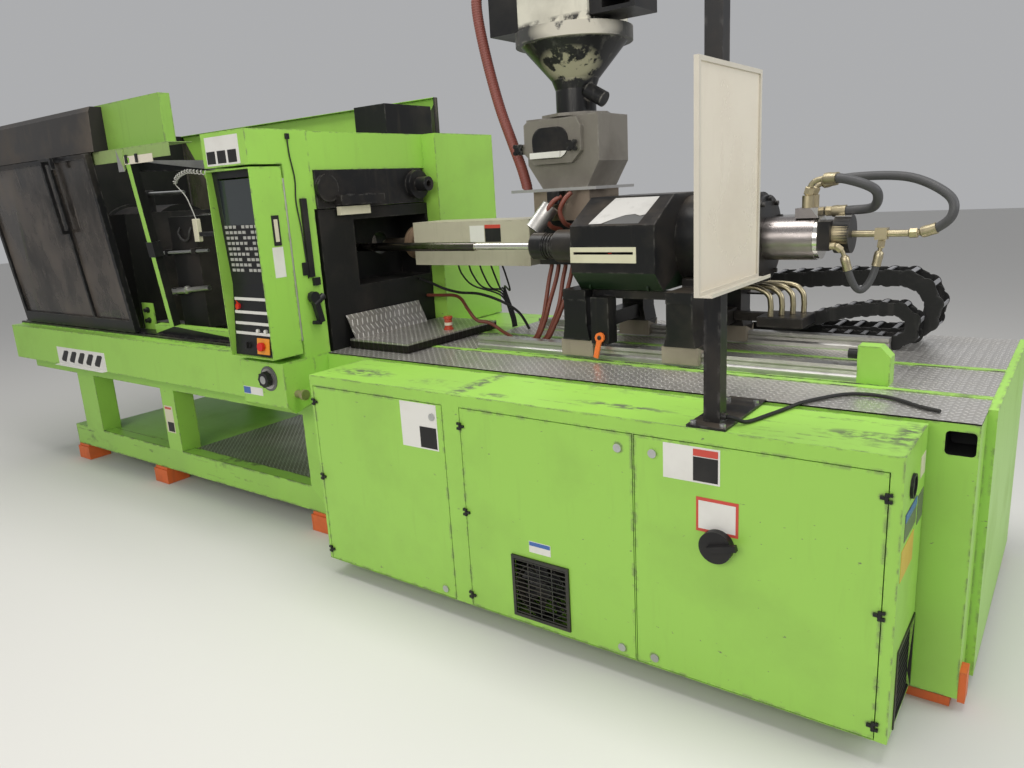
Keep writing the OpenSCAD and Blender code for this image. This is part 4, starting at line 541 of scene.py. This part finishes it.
def tint_cabinet():
    tint("mast", "bare_zinc", region(z=(908.5, 918)))
    tint("fan_grille", "grille_dark", region())
    tint("cabinet_shell", "knob_black", region(y=(-20, -0.5)))
    for door, lock in (("door_1", (-1600, -1560)), ("door_2", (-825, -795)), ("door_3", (-710, -670))):
        tint(door, "knob_black", test=lambda c: c.y < -0.5)
        tint(door, "bare_zinc", region(lock, (-10, -0.4)))
    # Painted shade inside the port at the top of the base's end.
    tint("injection_base", "dark_hole", region((39, 118.5), (351, 479), (806, 878)))
    tint("injection_base", "scuffed_green", test=lambda c: c.z > CABINET_TOP)
    # Painted shade in the space behind the vent grille.
    tint("cabinet_shell", "dark_hole", region((-25, -5.5), (70, 310), (70, 312)))
    tint("cabinet_shell", "grille_dark", region((0.5, 9), (60, 320), (70, 330)))
    tint("cabinet_shell", "knob_black", region((0.5, 9), (80, 160), (745, 825)))
    # Painted shade in the hole of the round fitting.
    tint("cabinet_shell", "dark_hole", region((2, 3.5), (90, 150), (755, 815)))
    tint("cabinet_shell", "scuffed_green", test=lambda c: c.z > CABINET_TOP)
    tint("main_switch", "knob_black", region())


dress_nodes()
tint_console()
tint_feeding()
tint_clamp()
tint_injection()
tint_cabinet()


# Ways to make a piece
def built_piece(name, build, finish):
    """Turns what was built into an object of the scene."""
    mesh = bpy.data.meshes.new(name)
    build.to_mesh(mesh)
    build.free()
    mesh.materials.append(FINISH[finish])
    obj = bpy.data.objects.new(name, mesh)
    bpy.context.collection.objects.link(obj)
    return obj


def solid(name, body, finish, boxes, bevel=0.0):
    """Joined boxes, each (x0, x1, y0, y1, z0, z1) in the machine's own axes, in millimetres."""
    build = bmesh.new()
    for x0, x1, y0, y1, z0, z1 in boxes:
        low, high = at(x0 / MM, y0 / MM, z0 / MM), at(x1 / MM, y1 / MM, z1 / MM)
        for vert in bmesh.ops.create_cube(build, size=1.0)["verts"]:
            vert.co = Vector(low[i] + (vert.co[i] + 0.5) * (high[i] - low[i]) for i in range(3))
    obj = built_piece(name, build, finish)
    if bevel:
        round_off = obj.modifiers.new("edges", "BEVEL")
        round_off.width = bevel
        round_off.segments = 2
    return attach(obj, body)


def smooth_route(points, steps=6):
    """Catmull-Rom curve through points given in the machine's own axes."""
    points = [at(*p) for p in points]
    out = []
    for i in range(len(points) - 1):
        a, b, c, d = (points[min(max(k, 0), len(points) - 1)] for k in (i - 1, i, i + 1, i + 2))
        for k in range(steps):
            t = k / steps
            out.append(0.5 * (2 * b + (c - a) * t + (2 * a - 5 * b + 4 * c - d) * t * t
                              + (3 * b - a - 3 * c + d) * t ** 3))
    return out + [points[-1]]


def ring(build, centre, radius, side, other, sides):
    """Vertices round a point in the plane of two directions."""
    return [build.verts.new(centre + radius * (math.cos(a) * side + math.sin(a) * other))
            for a in (2 * math.pi * k / sides for k in range(sides))]


def skin(build, rings, smooth):
    """Joins rings to a closed skin with a cap at each end."""
    sides = len(rings[0])
    for one, two in zip(rings, rings[1:]):
        for k in range(sides):
            build.faces.new((one[k], one[(k + 1) % sides], two[(k + 1) % sides], two[k]))
    build.faces.new(list(reversed(rings[0])))
    build.faces.new(rings[-1])
    for face in build.faces:
        face.smooth = smooth and len(face.verts) == 4


def swept(name, finish, route, radius, sides=14):
    """Closed tube along a route; radius is a number, or gives the radius at each step."""
    build = bmesh.new()
    rings = []
    side = None
    for i, point in enumerate(route):
        ahead = (route[min(i + 1, len(route) - 1)] - route[max(i - 1, 0)]).normalized()
        if side is None:
            side = ahead.orthogonal().normalized()
        side = (side - ahead * side.dot(ahead)).normalized()
        here = radius(i) if callable(radius) else radius
        rings.append(ring(build, point, here, side, ahead.cross(side), sides))
    skin(build, rings, True)
    return built_piece(name, build, finish)


def tube(name, body, finish, points, radius, sides=14):
    """Round hose or pipe through points."""
    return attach(swept(name, finish, smooth_route(points), radius, sides), body)


FEWEST_ROUND_SIDES = 9


def lathe(name, body, finish, start, end, profile, sides=24):
    """Turned piece from start to end; profile lists (share of the way, radius)."""
    start, end = at(*start), at(*end)
    ahead = (end - start).normalized()
    side = ahead.orthogonal().normalized()
    other = ahead.cross(side)
    build = bmesh.new()
    rings = [ring(build, start.lerp(end, share), radius, side, other, sides) for share, radius in profile]
    is_round = sides >= FEWEST_ROUND_SIDES
    skin(build, rings, is_round)
    obj = built_piece(name, build, finish)
    if is_round:
        sharp = obj.modifiers.new("edges", "EDGE_SPLIT")
        sharp.split_angle = math.radians(35)
    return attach(obj, body)


def rod(name, body, finish, start, end, radius, sides=14):
    return lathe(name, body, finish, start, end, [(0, radius), (1, radius)], sides)


def offset(base, points):
    """Points given from a base point."""
    return [tuple(b + p for b, p in zip(base, point)) for point in points]


def route_length(route):
    return sum((b - a).length for a, b in zip(route, route[1:]))


def cut_route(route, start, end):
    """The part of a route between two lengths along it, and the points at both cuts."""
    out, run = [], 0.0
    for a, b in zip(route, route[1:]):
        span = (b - a).length
        for mark in (start, end):
            if run <= mark < run + span:
                out.append(a.lerp(b, (mark - run) / span))
        run += span
        if start < run < end:
            out.append(b)
    return out


def bend_with_carriage(obj):
    """Bakes the piece's placement into its mesh."""
    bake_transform(obj)
    return obj


# Hoses, pipes and leads
PIPE_SHARE = 0.62
FERRULE_LENGTH = 0.045
NUT_LENGTH = 0.03
# Share of the way, and radius as a share of the hose's
FERRULE = ((0, 0.8), (0.12, 1.22), (0.4, 1.3), (0.6, 1.22), (1, 1.28))
NUT = ((0, 1), (0.1, 1.1), (0.9, 1.1), (1, 1))


def fitting(name, finish, route, marks, shape, radius, sides):
    """Turned fitting between two lengths along a hose of the carriage."""
    a, b = (cut_route(route, mark - 1e-4, mark + 1e-4)[0] - at(0, 0, 0) for mark in marks)
    lathe(name, "carriage", finish, a, b, [(share, radius * part) for share, part in shape], sides)


def fitted_hose(name, radius, pipe_in, pipe_out, points):
    """Hose at the rear cylinder, with a bent pipe, a pressed ferrule and a hexagon nut at each end."""
    route = smooth_route(offset((PLATEN_X + 2.055, AXIS_Y, AXIS_Z), points), 8)
    total = route_length(route)
    hose = swept(name, "hose_grey", cut_route(route, pipe_in, total - pipe_out), radius, 18)
    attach(hose, "carriage")
    for end, first, last, mark, tip, way in (("in", 0.0, pipe_in, pipe_in, 0.0, 1),
                                             ("out", total - pipe_out, total, total - pipe_out, total, -1)):
        pipe_route = cut_route(route, first + 1e-5, last - 1e-5)
        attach(swept(f"{name}_pipe_{end}", "pipe_gold", pipe_route, radius * PIPE_SHARE), "carriage")
        away = way * FERRULE_LENGTH
        marks = (mark - away * 0.2, mark + away)
        fitting(f"{name}_ferrule_{end}", "pipe_gold", route, marks, FERRULE, radius, 18)
        marks = (tip + way * 0.002, tip + way * NUT_LENGTH)
        fitting(f"{name}_nut_{end}", "brass", route, marks, NUT, radius, 6)
    return hose


def add_hydraulic_hoses():
    """The hoses and pipes of the injection unit, with their fittings."""
    hoses = [
        fitted_hose("hose_short", 0.0165, 0.10, 0.03, (
            (-0.03, -0.03, 0.154), (-0.03, -0.03, 0.164), (-0.012, -0.032, 0.199), (0.03, -0.04, 0.210),
            (0.11, -0.066, 0.204), (0.2, -0.056, 0.164), (0.185, 0.01, 0.106), (0.1, 0.044, 0.094),
            (0.03, 0.05, 0.092), (0.01, 0.05, 0.092))),
        fitted_hose("hose_long", 0.0155, 0.06, 0.045, (
            (-0.03, 0.04, 0.154), (-0.03, 0.04, 0.164), (0, 0.046, 0.194), (0.12, 0.06, 0.210),
            (0.29, 0.05, 0.198), (0.415, 0.01, 0.134), (0.43, -0.006, 0.069), (0.375, 0.006, 0.022),
            (0.32, 0.01, 0.012), (0.3, 0.01, 0.012))),
        fitted_hose("hose_drain", 0.0125, 0.06, 0.05, (
            (0.08, -0.066, -0.024), (0.088, -0.066, -0.024), (0.106, -0.06, -0.05), (0.122, -0.052, -0.11),
            (0.146, -0.036, -0.172), (0.17, -0.02, -0.18), (0.196, 0, -0.13), (0.215, 0.01, -0.024),
            (0.215, 0.01, -0.008)))]
    block_x, low = PLATEN_X + 1.57, DECK + 0.085
    for k in range(4):
        y, x = AXIS_Y + 0.06 + k * 0.044, block_x + 0.3 + k * 0.03
        hoses.append(tube(f"pipe_low_{k + 1}", "carriage", "pipe_gold", [
            (block_x + 0.13, y, AXIS_Z - 0.195), (block_x + 0.15, y, AXIS_Z - 0.195),
            (x - 0.06, y, AXIS_Z - 0.197), (x - 0.01, y, AXIS_Z - 0.225), (x, y, AXIS_Z - 0.265),
            (x, y, low + 0.09), (x, y, low + 0.07)], 0.011, 16))
    hoses.append(solid("hose_block", "carriage", "black_paint", [
        (-730, -550, 1005, 1180, 1015, 1055), (-866, -729, 1115, 1155, 1017, 1053)], 0.004))
    for hose in hoses:
        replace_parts(hose, "hydraulic_hoses")


def add_water_hoses():
    """Cooling hoses from the feed casting to the deck."""
    for k in range(4):
        x = PLATEN_X + 0.94 + k * 0.036
        y = AXIS_Y - 0.132 - (k % 2) * 0.026
        route = smooth_route((
            (x, AXIS_Y - 0.084, AXIS_Z - 0.095), (x, AXIS_Y - 0.084, AXIS_Z - 0.108),
            (x - 0.004, AXIS_Y - 0.104, AXIS_Z - 0.165), (x - 0.008, y, AXIS_Z - 0.26),
            (x - 0.02 - k * 0.006, y - 0.014, DECK + 0.13), (x - 0.06 - k * 0.01, y - 0.026, DECK + 0.042),
            (x - 0.15 - k * 0.014, y - 0.008, DECK + 0.017), (x - 0.24, y + 0.01 + k * 0.018, DECK + 0.016),
            (x - 0.262, y + 0.018 + k * 0.02, DECK + 0.016)), 8)
        hose = bend_with_carriage(swept(f"water_hose_{k + 1}", "hose_red", route, 0.0095))
        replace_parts(hose, "water_hoses")


def add_heater_leads():
    """Black leads of the heater bands, gathered behind the barrel and down to the deck."""
    for k in range(5):
        x = PLATEN_X + 0.27 + k * 0.07
        route = smooth_route((
            (x, AXIS_Y + 0.06, AXIS_Z - 0.10), (x, AXIS_Y + 0.065, AXIS_Z - 0.115),
            (x + 0.005, AXIS_Y + 0.085, AXIS_Z - 0.17),
            (x + 0.04 - k * 0.012, AXIS_Y + 0.13, AXIS_Z - 0.235 - k * 0.004),
            (PLATEN_X + 0.44, AXIS_Y + 0.19 + k * 0.008, AXIS_Z - 0.29 + k * 0.01),
            (PLATEN_X + 0.47, AXIS_Y + 0.22 + k * 0.008, DECK + 0.07),
            (PLATEN_X + 0.475, AXIS_Y + 0.23 + k * 0.008, DECK + 0.006)), 8)
        bend_with_carriage(swept(f"heater_lead_{k + 1}", "cable_black", route, 0.0045, 10))


def add_mast_cable():
    """Cable from the gland on the mast over the walkway, the same route as the solid one."""
    points = [(x / MM, y / MM, z / MM) for x, y, z in (
        (-487, 70, 925), (-472, 70, 925), (-458, 74, 920), (-444, 90, 910), (-430, 120, 907),
        (-415, 170, 907), (-396, 235, 907), (-376, 300, 908), (-357, 345, 912), (-330, 400, 912),
        (-295, 460, 912), (-255, 505, 912), (-205, 522, 912), (-150, 515, 912), (-105, 490, 912),
        (-60, 455, 912), (-20, 430, 912), (14, 415, 912))]
    line = smooth_route(points, 4)
    cable = swept("mast_cable_look", "cable_black", line, 0.006, 12)
    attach(cable, "frame")
    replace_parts(cable, "mast_cable")


def add_feed_hose():
    """Ribbed conveying hose from the throat up to the hopper's loader."""
    throat = (PLATEN_X + 1.0, AXIS_Y, 0)
    loader = (PLATEN_X + 1.045, AXIS_Y, 0)
    rough = smooth_route(offset(throat, (
        (-0.168, -0.09, 1.595), (-0.168, -0.09, 1.612), (-0.192, -0.09, 1.692), (-0.235, -0.09, 1.802),
        (-0.295, -0.09, 1.962), (-0.352, -0.09, 2.172), (-0.385, -0.09, 2.352), (-0.378, -0.085, 2.43),
        (-0.32, -0.075, 2.462))) + offset(loader, (
            (-0.262, -0.066, 2.458), (-0.25, -0.065, 2.448), (-0.25, -0.065, 2.43))), 12)
    step = 0.0035
    route, left = [rough[0]], 0.0
    for a, b in zip(rough, rough[1:]):
        span = (b - a).length
        while left + step <= span:
            left += step
            route.append(a.lerp(b, left / span))
        left -= span
    crest, groove = 0.0235, 0.0217
    hose = swept("feed_hose_look", "hose_ribbed", route, lambda i: groove if i % 3 == 0 else crest, 20)
    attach(hose, "carriage")
    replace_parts(hose, "feed_hose")


def bend_copy(name):
    """A copy of a node that stands in its place, with the node hidden."""
    obj = bpy.data.objects.new(name + "_look", frame["nodes"][name].data.copy())
    bpy.context.collection.objects.link(obj)
    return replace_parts(bend_with_carriage(obj), name)


# Small fittings
def add_clamp_fittings():
    """What shows through the gate opening: guide rods, a small cylinder, the curly lead and its switch."""
    rod("core_rod", "platen", "bare_zinc", (-3.93, 0.385, 1.365), (-3.45, 0.385, 1.380), 0.008)
    solid("core_rod_bracket", "platen", "black_paint", [
        (-3860, -3835, 375, 420, 1350, 1385), (-3560, -3600.5, 375, 420, 1362, 1392)])
    lathe("ejector_cylinder", "platen", "bright_steel", (-3.86, 0.390, 1.150), (-3.50, 0.390, 1.181),
          [(0, 0.017), (0.36, 0.017), (0.37, 0.023), (0.42, 0.023), (0.43, 0.0135), (1, 0.0135)], 20)
    solid("ejector_cylinder_bracket", "platen", "black_paint", [(-3850, -3812, 380, 420, 1130, 1172)])
    rod("upper_rod", "frame", "bare_zinc", (-4.35, 0.62, 1.70), (-3.98, 0.62, 1.695), 0.011)
    solid("upper_rod_bracket", "frame", "black_paint", [(-4420, -4350, 590, 650, 1590, 1720)], 0.004)
    radius, (x, y, z) = 0.055, (-3.69, 0.405, 1.485)
    arc = [(x + radius * math.cos(a), y, z + radius * math.sin(a))
           for a in map(math.radians, range(190, 351, 20))]
    held = (-3.742, 0.419, 1.50), (-3.638, 0.419, 1.50)
    tube("lifting_ring", "platen", "hose_rubber", [held[0], *arc, held[1]], 0.006)
    solid("rail_plate", "frame", "board_white", [(-3800, -3490, 177, 180, 1838, 1878)])
    clips = [(x, x + 22, 170, 177, 1842, 1886) for x in (-3745, -3645)]
    solid("rail_clips", "frame", "knob_black", clips, 0.003)
    solid("deck_sockets", "frame", "green_paint", [(-4118, -4000, 330, 336, 912, 1085)])
    for k, z in enumerate((0.985, 1.045)):
        lathe(f"deck_socket_{k + 1}", "frame", "knob_black", (-4.055, 0.330, z), (-4.055, 0.305, z),
              [(0, 0.017), (0.3, 0.017), (0.35, 0.013), (1, 0.012)], 18)
    add_curly_lead()


def add_curly_lead():
    """Coiled pale lead from the console post to the switch on its arm."""
    line = smooth_route((
        (-2.864, 0.345, 1.80), (-2.90, 0.348, 1.798), (-3.05, 0.355, 1.775), (-3.22, 0.36, 1.762),
        (-3.38, 0.36, 1.775), (-3.50, 0.36, 1.786), (-3.59, 0.36, 1.766), (-3.625, 0.36, 1.733),
        (-3.59, 0.36, 1.700), (-3.545, 0.36, 1.662), (-3.51, 0.36, 1.602), (-3.482, 0.36, 1.54)), 24)
    turns, coil_radius, fade_steps = 30, 0.010, 8
    coiled = int(len(line) * 0.66)
    route = []
    for i, point in enumerate(line[:coiled]):
        ahead = (line[i + 1] - line[max(i - 1, 0)]).normalized()
        side = ahead.orthogonal().normalized()
        fade = min(1.0, i / fade_steps, (coiled - i) / fade_steps)
        a = 2 * math.pi * turns * i / coiled
        route.append(point + coil_radius * fade * (math.cos(a) * side + math.sin(a) * ahead.cross(side)))
    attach(swept("curly_lead", "wire_pale", route + line[coiled:], 0.0028, 8), "frame")
    solid("lead_switch", "frame", "plate_cream", [(-3502, -3462, 345, 372, 1428, 1546)], 0.004)
    solid("lead_switch_arm", "frame", "black_paint", [(-3470, -2864, 352, 364, 1455, 1478)], 0.002)


def slope_plate(name, finish, outline):
    """Thin sheet on the slanting front of the injection housing; outline lists (x, share of the slope)."""
    low, high = Vector((0, 0.620, 1.446)), Vector((0, 0.795, 1.550))
    out = Vector((0, low.z - high.z, high.y - low.y)).normalized()
    build = bmesh.new()
    layers = []
    for lift in (0.0002, 0.0010):
        places = [(x, low.lerp(high, share) + out * lift) for x, share in outline]
        layers.append([build.verts.new(at(x, place.y, place.z)) for x, place in places])
    under, upper = layers
    build.faces.new(upper)
    build.faces.new(list(reversed(under)))
    for k in range(len(outline)):
        n = (k + 1) % len(outline)
        build.faces.new((under[k], under[n], upper[n], upper[k]))
    bmesh.ops.recalc_face_normals(build, faces=build.faces)
    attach(built_piece(name, build, finish), "carriage")


def add_injection_fittings():
    """Torn sheet on the housing, drop tube at the throat, marker cap, and leads on deck and console post."""
    slope_plate("torn_sheet", "sticker", [
        (-1.265, 0.06), (-1.21, 0.07), (-1.175, 0.20), (-1.13, 0.33), (-1.09, 0.36), (-1.065, 0.30),
        (-1.045, 0.34), (-1.035, 0.93), (-1.225, 0.93), (-1.245, 0.55)])
    slope_plate("sheet_shadow", "lamp_grey", [
        (-1.20, 0.05), (-1.05, 0.05), (-1.045, 0.31), (-1.065, 0.28), (-1.09, 0.34), (-1.13, 0.31),
        (-1.175, 0.18)])
    lathe("drop_tube", "carriage", "bright_steel", (-1.607, 0.750, 1.428), (-1.545, 0.80, 1.525),
          [(0, 0.030), (0.01, 0.040), (0.04, 0.0385), (0.96, 0.0385), (1, 0.034)], 28)
    # The bore is a black disc: painted shade inside the tube.
    rod("drop_tube_bore", "carriage", "dark_hole",
        (-1.6079, 0.7493, 1.4266), (-1.6065, 0.7504, 1.4288), 0.029, 24)
    solid("drop_tube_clip", "carriage", "black_paint", [(-1560, -1500, 790, 830, 1530, 1583)], 0.004)
    tube("throat_hose_1", "carriage", "hose_red", [
        (-1.50, 0.81, 1.56), (-1.52, 0.775, 1.54), (-1.55, 0.765, 1.49), (-1.545, 0.79, 1.44),
        (-1.53, 0.85, 1.42)], 0.010)
    tube("throat_hose_2", "carriage", "hose_red", [
        (-1.45, 0.81, 1.575), (-1.47, 0.785, 1.545), (-1.49, 0.78, 1.50), (-1.48, 0.80, 1.45),
        (-1.47, 0.86, 1.43)], 0.010)
    cap_x, cap_y = -2.202, 0.833
    lathe("marker_cap", "frame", "clear_red", (cap_x, cap_y, 0.950), (cap_x, cap_y, 1.015),
          [(0, 0.024), (0.12, 0.024), (0.16, 0.019), (0.8, 0.019), (0.84, 0.023), (1, 0.022)], 20)
    rod("marker_cap_band", "frame", "plate_cream", (cap_x, cap_y, 0.972), (cap_x, cap_y, 0.986), 0.0205, 20)
    tube("deck_hose", "frame", "hose_red", [
        (-1.79, 0.80, 0.915), (-1.86, 0.89, 0.921), (-1.95, 0.94, 0.935), (-2.03, 0.945, 0.972),
        (-2.10, 0.93, 0.985), (-2.17, 0.95, 1.035), (-2.24, 0.99, 1.075), (-2.33, 1.04, 1.085),
        (-2.44, 1.06, 1.08), (-2.545, 1.07, 1.075)], 0.0085)
    tube("deck_lead", "frame", "cable_black", [
        (-2.545, 1.02, 1.17), (-2.48, 1.03, 1.15), (-2.40, 1.04, 1.12), (-2.30, 1.05, 1.10),
        (-2.18, 1.06, 1.095), (-2.06, 1.08, 1.06), (-1.98, 1.12, 1.00), (-1.94, 1.15, 0.912)], 0.007)
    solid("cylinder_tag", "carriage", "bare_zinc", [(-735, -700, 784, 790, 1225, 1262)], 0.002)
    tube("post_lead", "frame", "cable_black", [
        (-2.547, 0.262, 1.88), (-2.546, 0.264, 1.80), (-2.546, 0.278, 1.70), (-2.546, 0.270, 1.60),
        (-2.546, 0.282, 1.48), (-2.546, 0.287, 1.36), (-2.547, 0.29, 1.26)], 0.003)
    solid("post_lead_clip", "frame", "knob_black", [(-2550, -2540, 252, 272, 1868, 1892)], 0.002)
    solid("post_switch", "frame", "knob_black", [(-2550, -2541, 262, 325, 1276, 1334)], 0.002)
    solid("handle_insert", "console", "plate_cream", [(-2553, -2550.5, 141, 161, 1437, 1533)])


KNOB_X = -2.660
KNOB_Z = 0.825


def add_console_fittings():
    """Square collar of the emergency stop, dial of the flow knob and its plate."""
    left, right = -2.692, -2.604
    low_y, low_z, high_y, high_z = 0.0725, 0.942, 0.0800, 1.014
    build = bmesh.new()
    corners = []
    for depth in (-0.0045, -0.0005):
        for x, y, z in ((left, low_y, low_z), (right, low_y, low_z),
                        (right, high_y, high_z), (left, high_y, high_z)):
            corners.append(build.verts.new(at(x, y + depth, z)))
    for quad in ((0, 1, 2, 3), (7, 6, 5, 4), (0, 4, 5, 1), (1, 5, 6, 2), (2, 6, 7, 3), (3, 7, 4, 0)):
        build.faces.new([corners[k] for k in quad])
    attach(built_piece("stop_collar", build, "stop_yellow"), "console")
    lathe("knob_dial", "flow_knob", "bare_zinc", (KNOB_X, 0.0545, KNOB_Z), (KNOB_X, 0.0515, KNOB_Z),
          [(0, 0.019), (0.6, 0.019), (1, 0.016)], 28)
    lathe("knob_plate", "frame", "lamp_grey", (KNOB_X, 0.090, KNOB_Z), (KNOB_X, 0.0835, KNOB_Z),
          [(0, 0.058), (0.7, 0.058), (1, 0.055)], 36)


# Places of labels, left bare or as plain fields of colour
PLATE_T = 1.2
DOOR_Y = 0
CONSOLE_TOP_Y = 50
KNOB_BOX_Y = 90
GUARD_Y = 850
LEG_Y = 270
# Name, body, finish, plane that carries it, layer on it, left, right, bottom, top
FRONT_PLATES = (
    ("plate_door_1", "door_1", "plate_white", DOOR_Y, 0, -1745, -1562, 672, 850),
    ("plate_door_1_dark", "door_1", "plate_black", DOOR_Y, 1, -1650, -1568, 678, 760),
    ("plate_door_3", "door_3", "plate_white", DOOR_Y, 0, -656, -478, 735, 845),
    ("plate_door_3_dark", "door_3", "plate_black", DOOR_Y, 1, -560, -484, 741, 815),
    ("plate_door_3_red", "door_3", "plate_red", DOOR_Y, 1, -560, -484, 818, 839),
    ("plate_switch_edge", "door_3", "plate_red", DOOR_Y, 0, -551, -422, 584, 692),
    ("plate_switch", "door_3", "plate_white", DOOR_Y, 1, -543, -430, 594, 682),
    ("plate_fan", "door_2", "plate_white", DOOR_Y, 0, -1172, -1082, 362, 404),
    ("plate_fan_blue", "door_2", "plate_blue", DOOR_Y, 1, -1170, -1084, 388, 402),
    ("plate_console", "frame", "plate_white", CONSOLE_TOP_Y, 0, -2838, -2600, 1772, 1892),
    ("plate_knob", "frame", "plate_white", KNOB_BOX_Y, 0, -2866, -2722, 735, 772),
    ("plate_knob_blue", "frame", "plate_blue", KNOB_BOX_Y, 1, -2864, -2814, 738, 769),
    ("plate_guard", "carriage", "plate_white", GUARD_Y, 0, -2040, -1955, 1372, 1447),
    ("plate_guard_dark", "carriage", "plate_black", GUARD_Y, 0, -1950, -1860, 1372, 1434),
    ("plate_guard_red", "carriage", "plate_red", GUARD_Y, 0, -1950, -1860, 1434, 1450),
    ("plate_leg", "frame", "plate_cream", LEG_Y, 0, -3952, -3868, 338, 500),
    ("plate_leg_dark", "frame", "plate_black", LEG_Y, 1, -3936, -3874, 345, 402),
    ("plate_leg_red", "frame", "plate_red", LEG_Y, 1, -3944, -3880, 480, 492),
)
# Plates on the machine's right end: name, finish, thickness, front, back, bottom, top
END_PLATES = (
    ("plate_end", "lamp_grey", PLATE_T, 48, 206, 650, 728),
    ("plate_end_blue", "plate_blue", 2 * PLATE_T, 50, 204, 704, 726),
    ("plate_end_back", "lamp_grey", PLATE_T, 228, 310, 630, 716),
    ("plate_end_yellow", "plate_yellow", PLATE_T, 26, 190, 545, 634),
    ("tag_end", "plate_cream", PLATE_T, 238, 304, 764, 826),
)


def add_bare_plates():
    for name, body, finish, plane, layer, left, right, bottom, top in FRONT_PLATES:
        back = plane - layer * PLATE_T
        solid(name, body, finish, [(left, right, back - PLATE_T, back, bottom, top)])
    for name, finish, thickness, front, back, bottom, top in END_PLATES:
        solid(name, "frame", finish, [(0, thickness, front, back, bottom, top)])
    first, width, pitch, back = -2832, 60, 76, CONSOLE_TOP_Y - PLATE_T
    solid("plate_console_fields", "frame", "plate_black", [
        (x, x + width, back - PLATE_T, back, 1780, 1832) for x in range(first, first + 3 * pitch, pitch)])
    solid("sheet_console", "console", "plate_white", [(-2554, -2553, 118, 175, 1282, 1414)])
    add_slotted_bracket()


def add_slotted_bracket():
    """Pale angle bracket on the front beam with slanting dark slots."""
    left, right, plane, bottom, top, sheet, shelf = -4930, -4330, 165, 690, 800, 2.5, 30
    solid("plate_beam", "frame", "plate_white", [
        (left, right, plane - sheet, plane, bottom, top),
        (left, right, plane - shelf, plane, bottom - sheet, bottom)])
    slots, pitch, width, lean, depth = 5, 0.105, 0.062, 0.040, 0.0006
    low, high = bottom / MM, top / MM
    build = bmesh.new()
    for k in range(slots):
        x = left / MM + 0.05 + k * pitch
        build.faces.new([build.verts.new(at(px, plane / MM - 0.0031, pz)) for px, pz in (
            (x, low + 0.022), (x + width * 0.8, low + 0.018), (x + width + lean, high - 0.026),
            (x + width + lean * 0.7, high - 0.018), (x + lean + 0.006, high - 0.020),
            (x - 0.004, low + 0.034))])
    made = bmesh.ops.extrude_face_region(build, geom=list(build.faces))["geom"]
    back = [part for part in made if isinstance(part, bmesh.types.BMVert)]
    bmesh.ops.translate(build, vec=(0, depth, 0), verts=back)
    bmesh.ops.recalc_face_normals(build, faces=build.faces)
    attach(built_piece("plate_beam_slots", build, "plate_black"), "frame")


add_bare_plates()
add_mast_cable()
add_feed_hose()
bend_copy("chain_rear")
bend_copy("chain_front")
add_water_hoses()
add_hydraulic_hoses()
add_heater_leads()
add_clamp_fittings()
add_injection_fittings()
add_console_fittings()


# Stage: pale floor and soft light
FLOOR_SIZE = 60
FLOOR_COLOR = (0.62, 0.61, 0.59)
SKY_COLOR = (0.92, 0.93, 0.95, 1.0)
SKY_STRENGTH = 0.45
# Name, place, target, size, power, colour
LAMPS = (
    ("overhead", (0.3, -0.3, 5.2), (0.3, 0.2, 0.9), (7.5, 2.2), 250, (1.0, 0.985, 0.95)),
    ("front", (2.0, -5.5, 3.4), (0.2, 0.0, 0.7), (5.0, 2.6), 152, (1.0, 0.97, 0.92)),
    ("right", (6.0, 0.5, 3.2), (1.5, 0.2, 0.9), (3.0, 2.2), 70, (0.97, 0.98, 1.0)),
)


def make_stage():
    bpy.ops.mesh.primitive_plane_add(size=FLOOR_SIZE, location=(0, 0, -0.001))
    floor = bpy.context.object
    floor.name = "stage_floor"
    floor.data.materials.append(new_material("stage_floor", FLOOR_COLOR, 0.75))
    world = bpy.data.worlds.new("soft_world")
    world.use_nodes = True
    background = world.node_tree.nodes["Background"]
    background.inputs["Color"].default_value = SKY_COLOR
    background.inputs["Strength"].default_value = SKY_STRENGTH
    bpy.context.scene.world = world


def make_lights():
    for name, place, target, size, power, color in LAMPS:
        data = bpy.data.lights.new(name, "AREA")
        data.shape = "RECTANGLE"
        data.size, data.size_y = size
        data.energy = power
        data.color = color
        lamp = bpy.data.objects.new(name, data)
        lamp.location = place
        lamp.rotation_euler = (Vector(target) - Vector(place)).to_track_quat("-Z", "Y").to_euler()
        bpy.context.collection.objects.link(lamp)


# Camera fitted to the photograph: place in the machine's axes, and turn, nod and bank in degrees
CAMERA_PLACE = (0.3215, -2.0307, 1.5981)
CAMERA_ANGLES = (36.953, -13.944, -3.348)
SENSOR_WIDTH = 36.0
LENS = 27.411


def make_camera():
    yaw, pitch, roll = (math.radians(a) for a in CAMERA_ANGLES)
    turn, nod, bank = (Matrix.Rotation(a, 3, axis) for a, axis in ((-yaw, "Z"), (-pitch, "X"), (roll, "Y")))
    right, ahead, up = bank @ nod @ turn
    data = bpy.data.cameras.new("photo_camera")
    data.sensor_width = SENSOR_WIDTH
    data.lens = LENS
    data.clip_end = 100.0
    camera = bpy.data.objects.new("photo_camera", data)
    turned = Matrix((right, up, -ahead)).transposed()
    camera.matrix_world = Matrix.Translation(at(*CAMERA_PLACE)) @ turned.to_4x4()
    bpy.context.collection.objects.link(camera)
    scene = bpy.context.scene
    scene.camera = camera
    scene.view_settings.view_transform = "Standard"


make_stage()
make_lights()
make_camera()
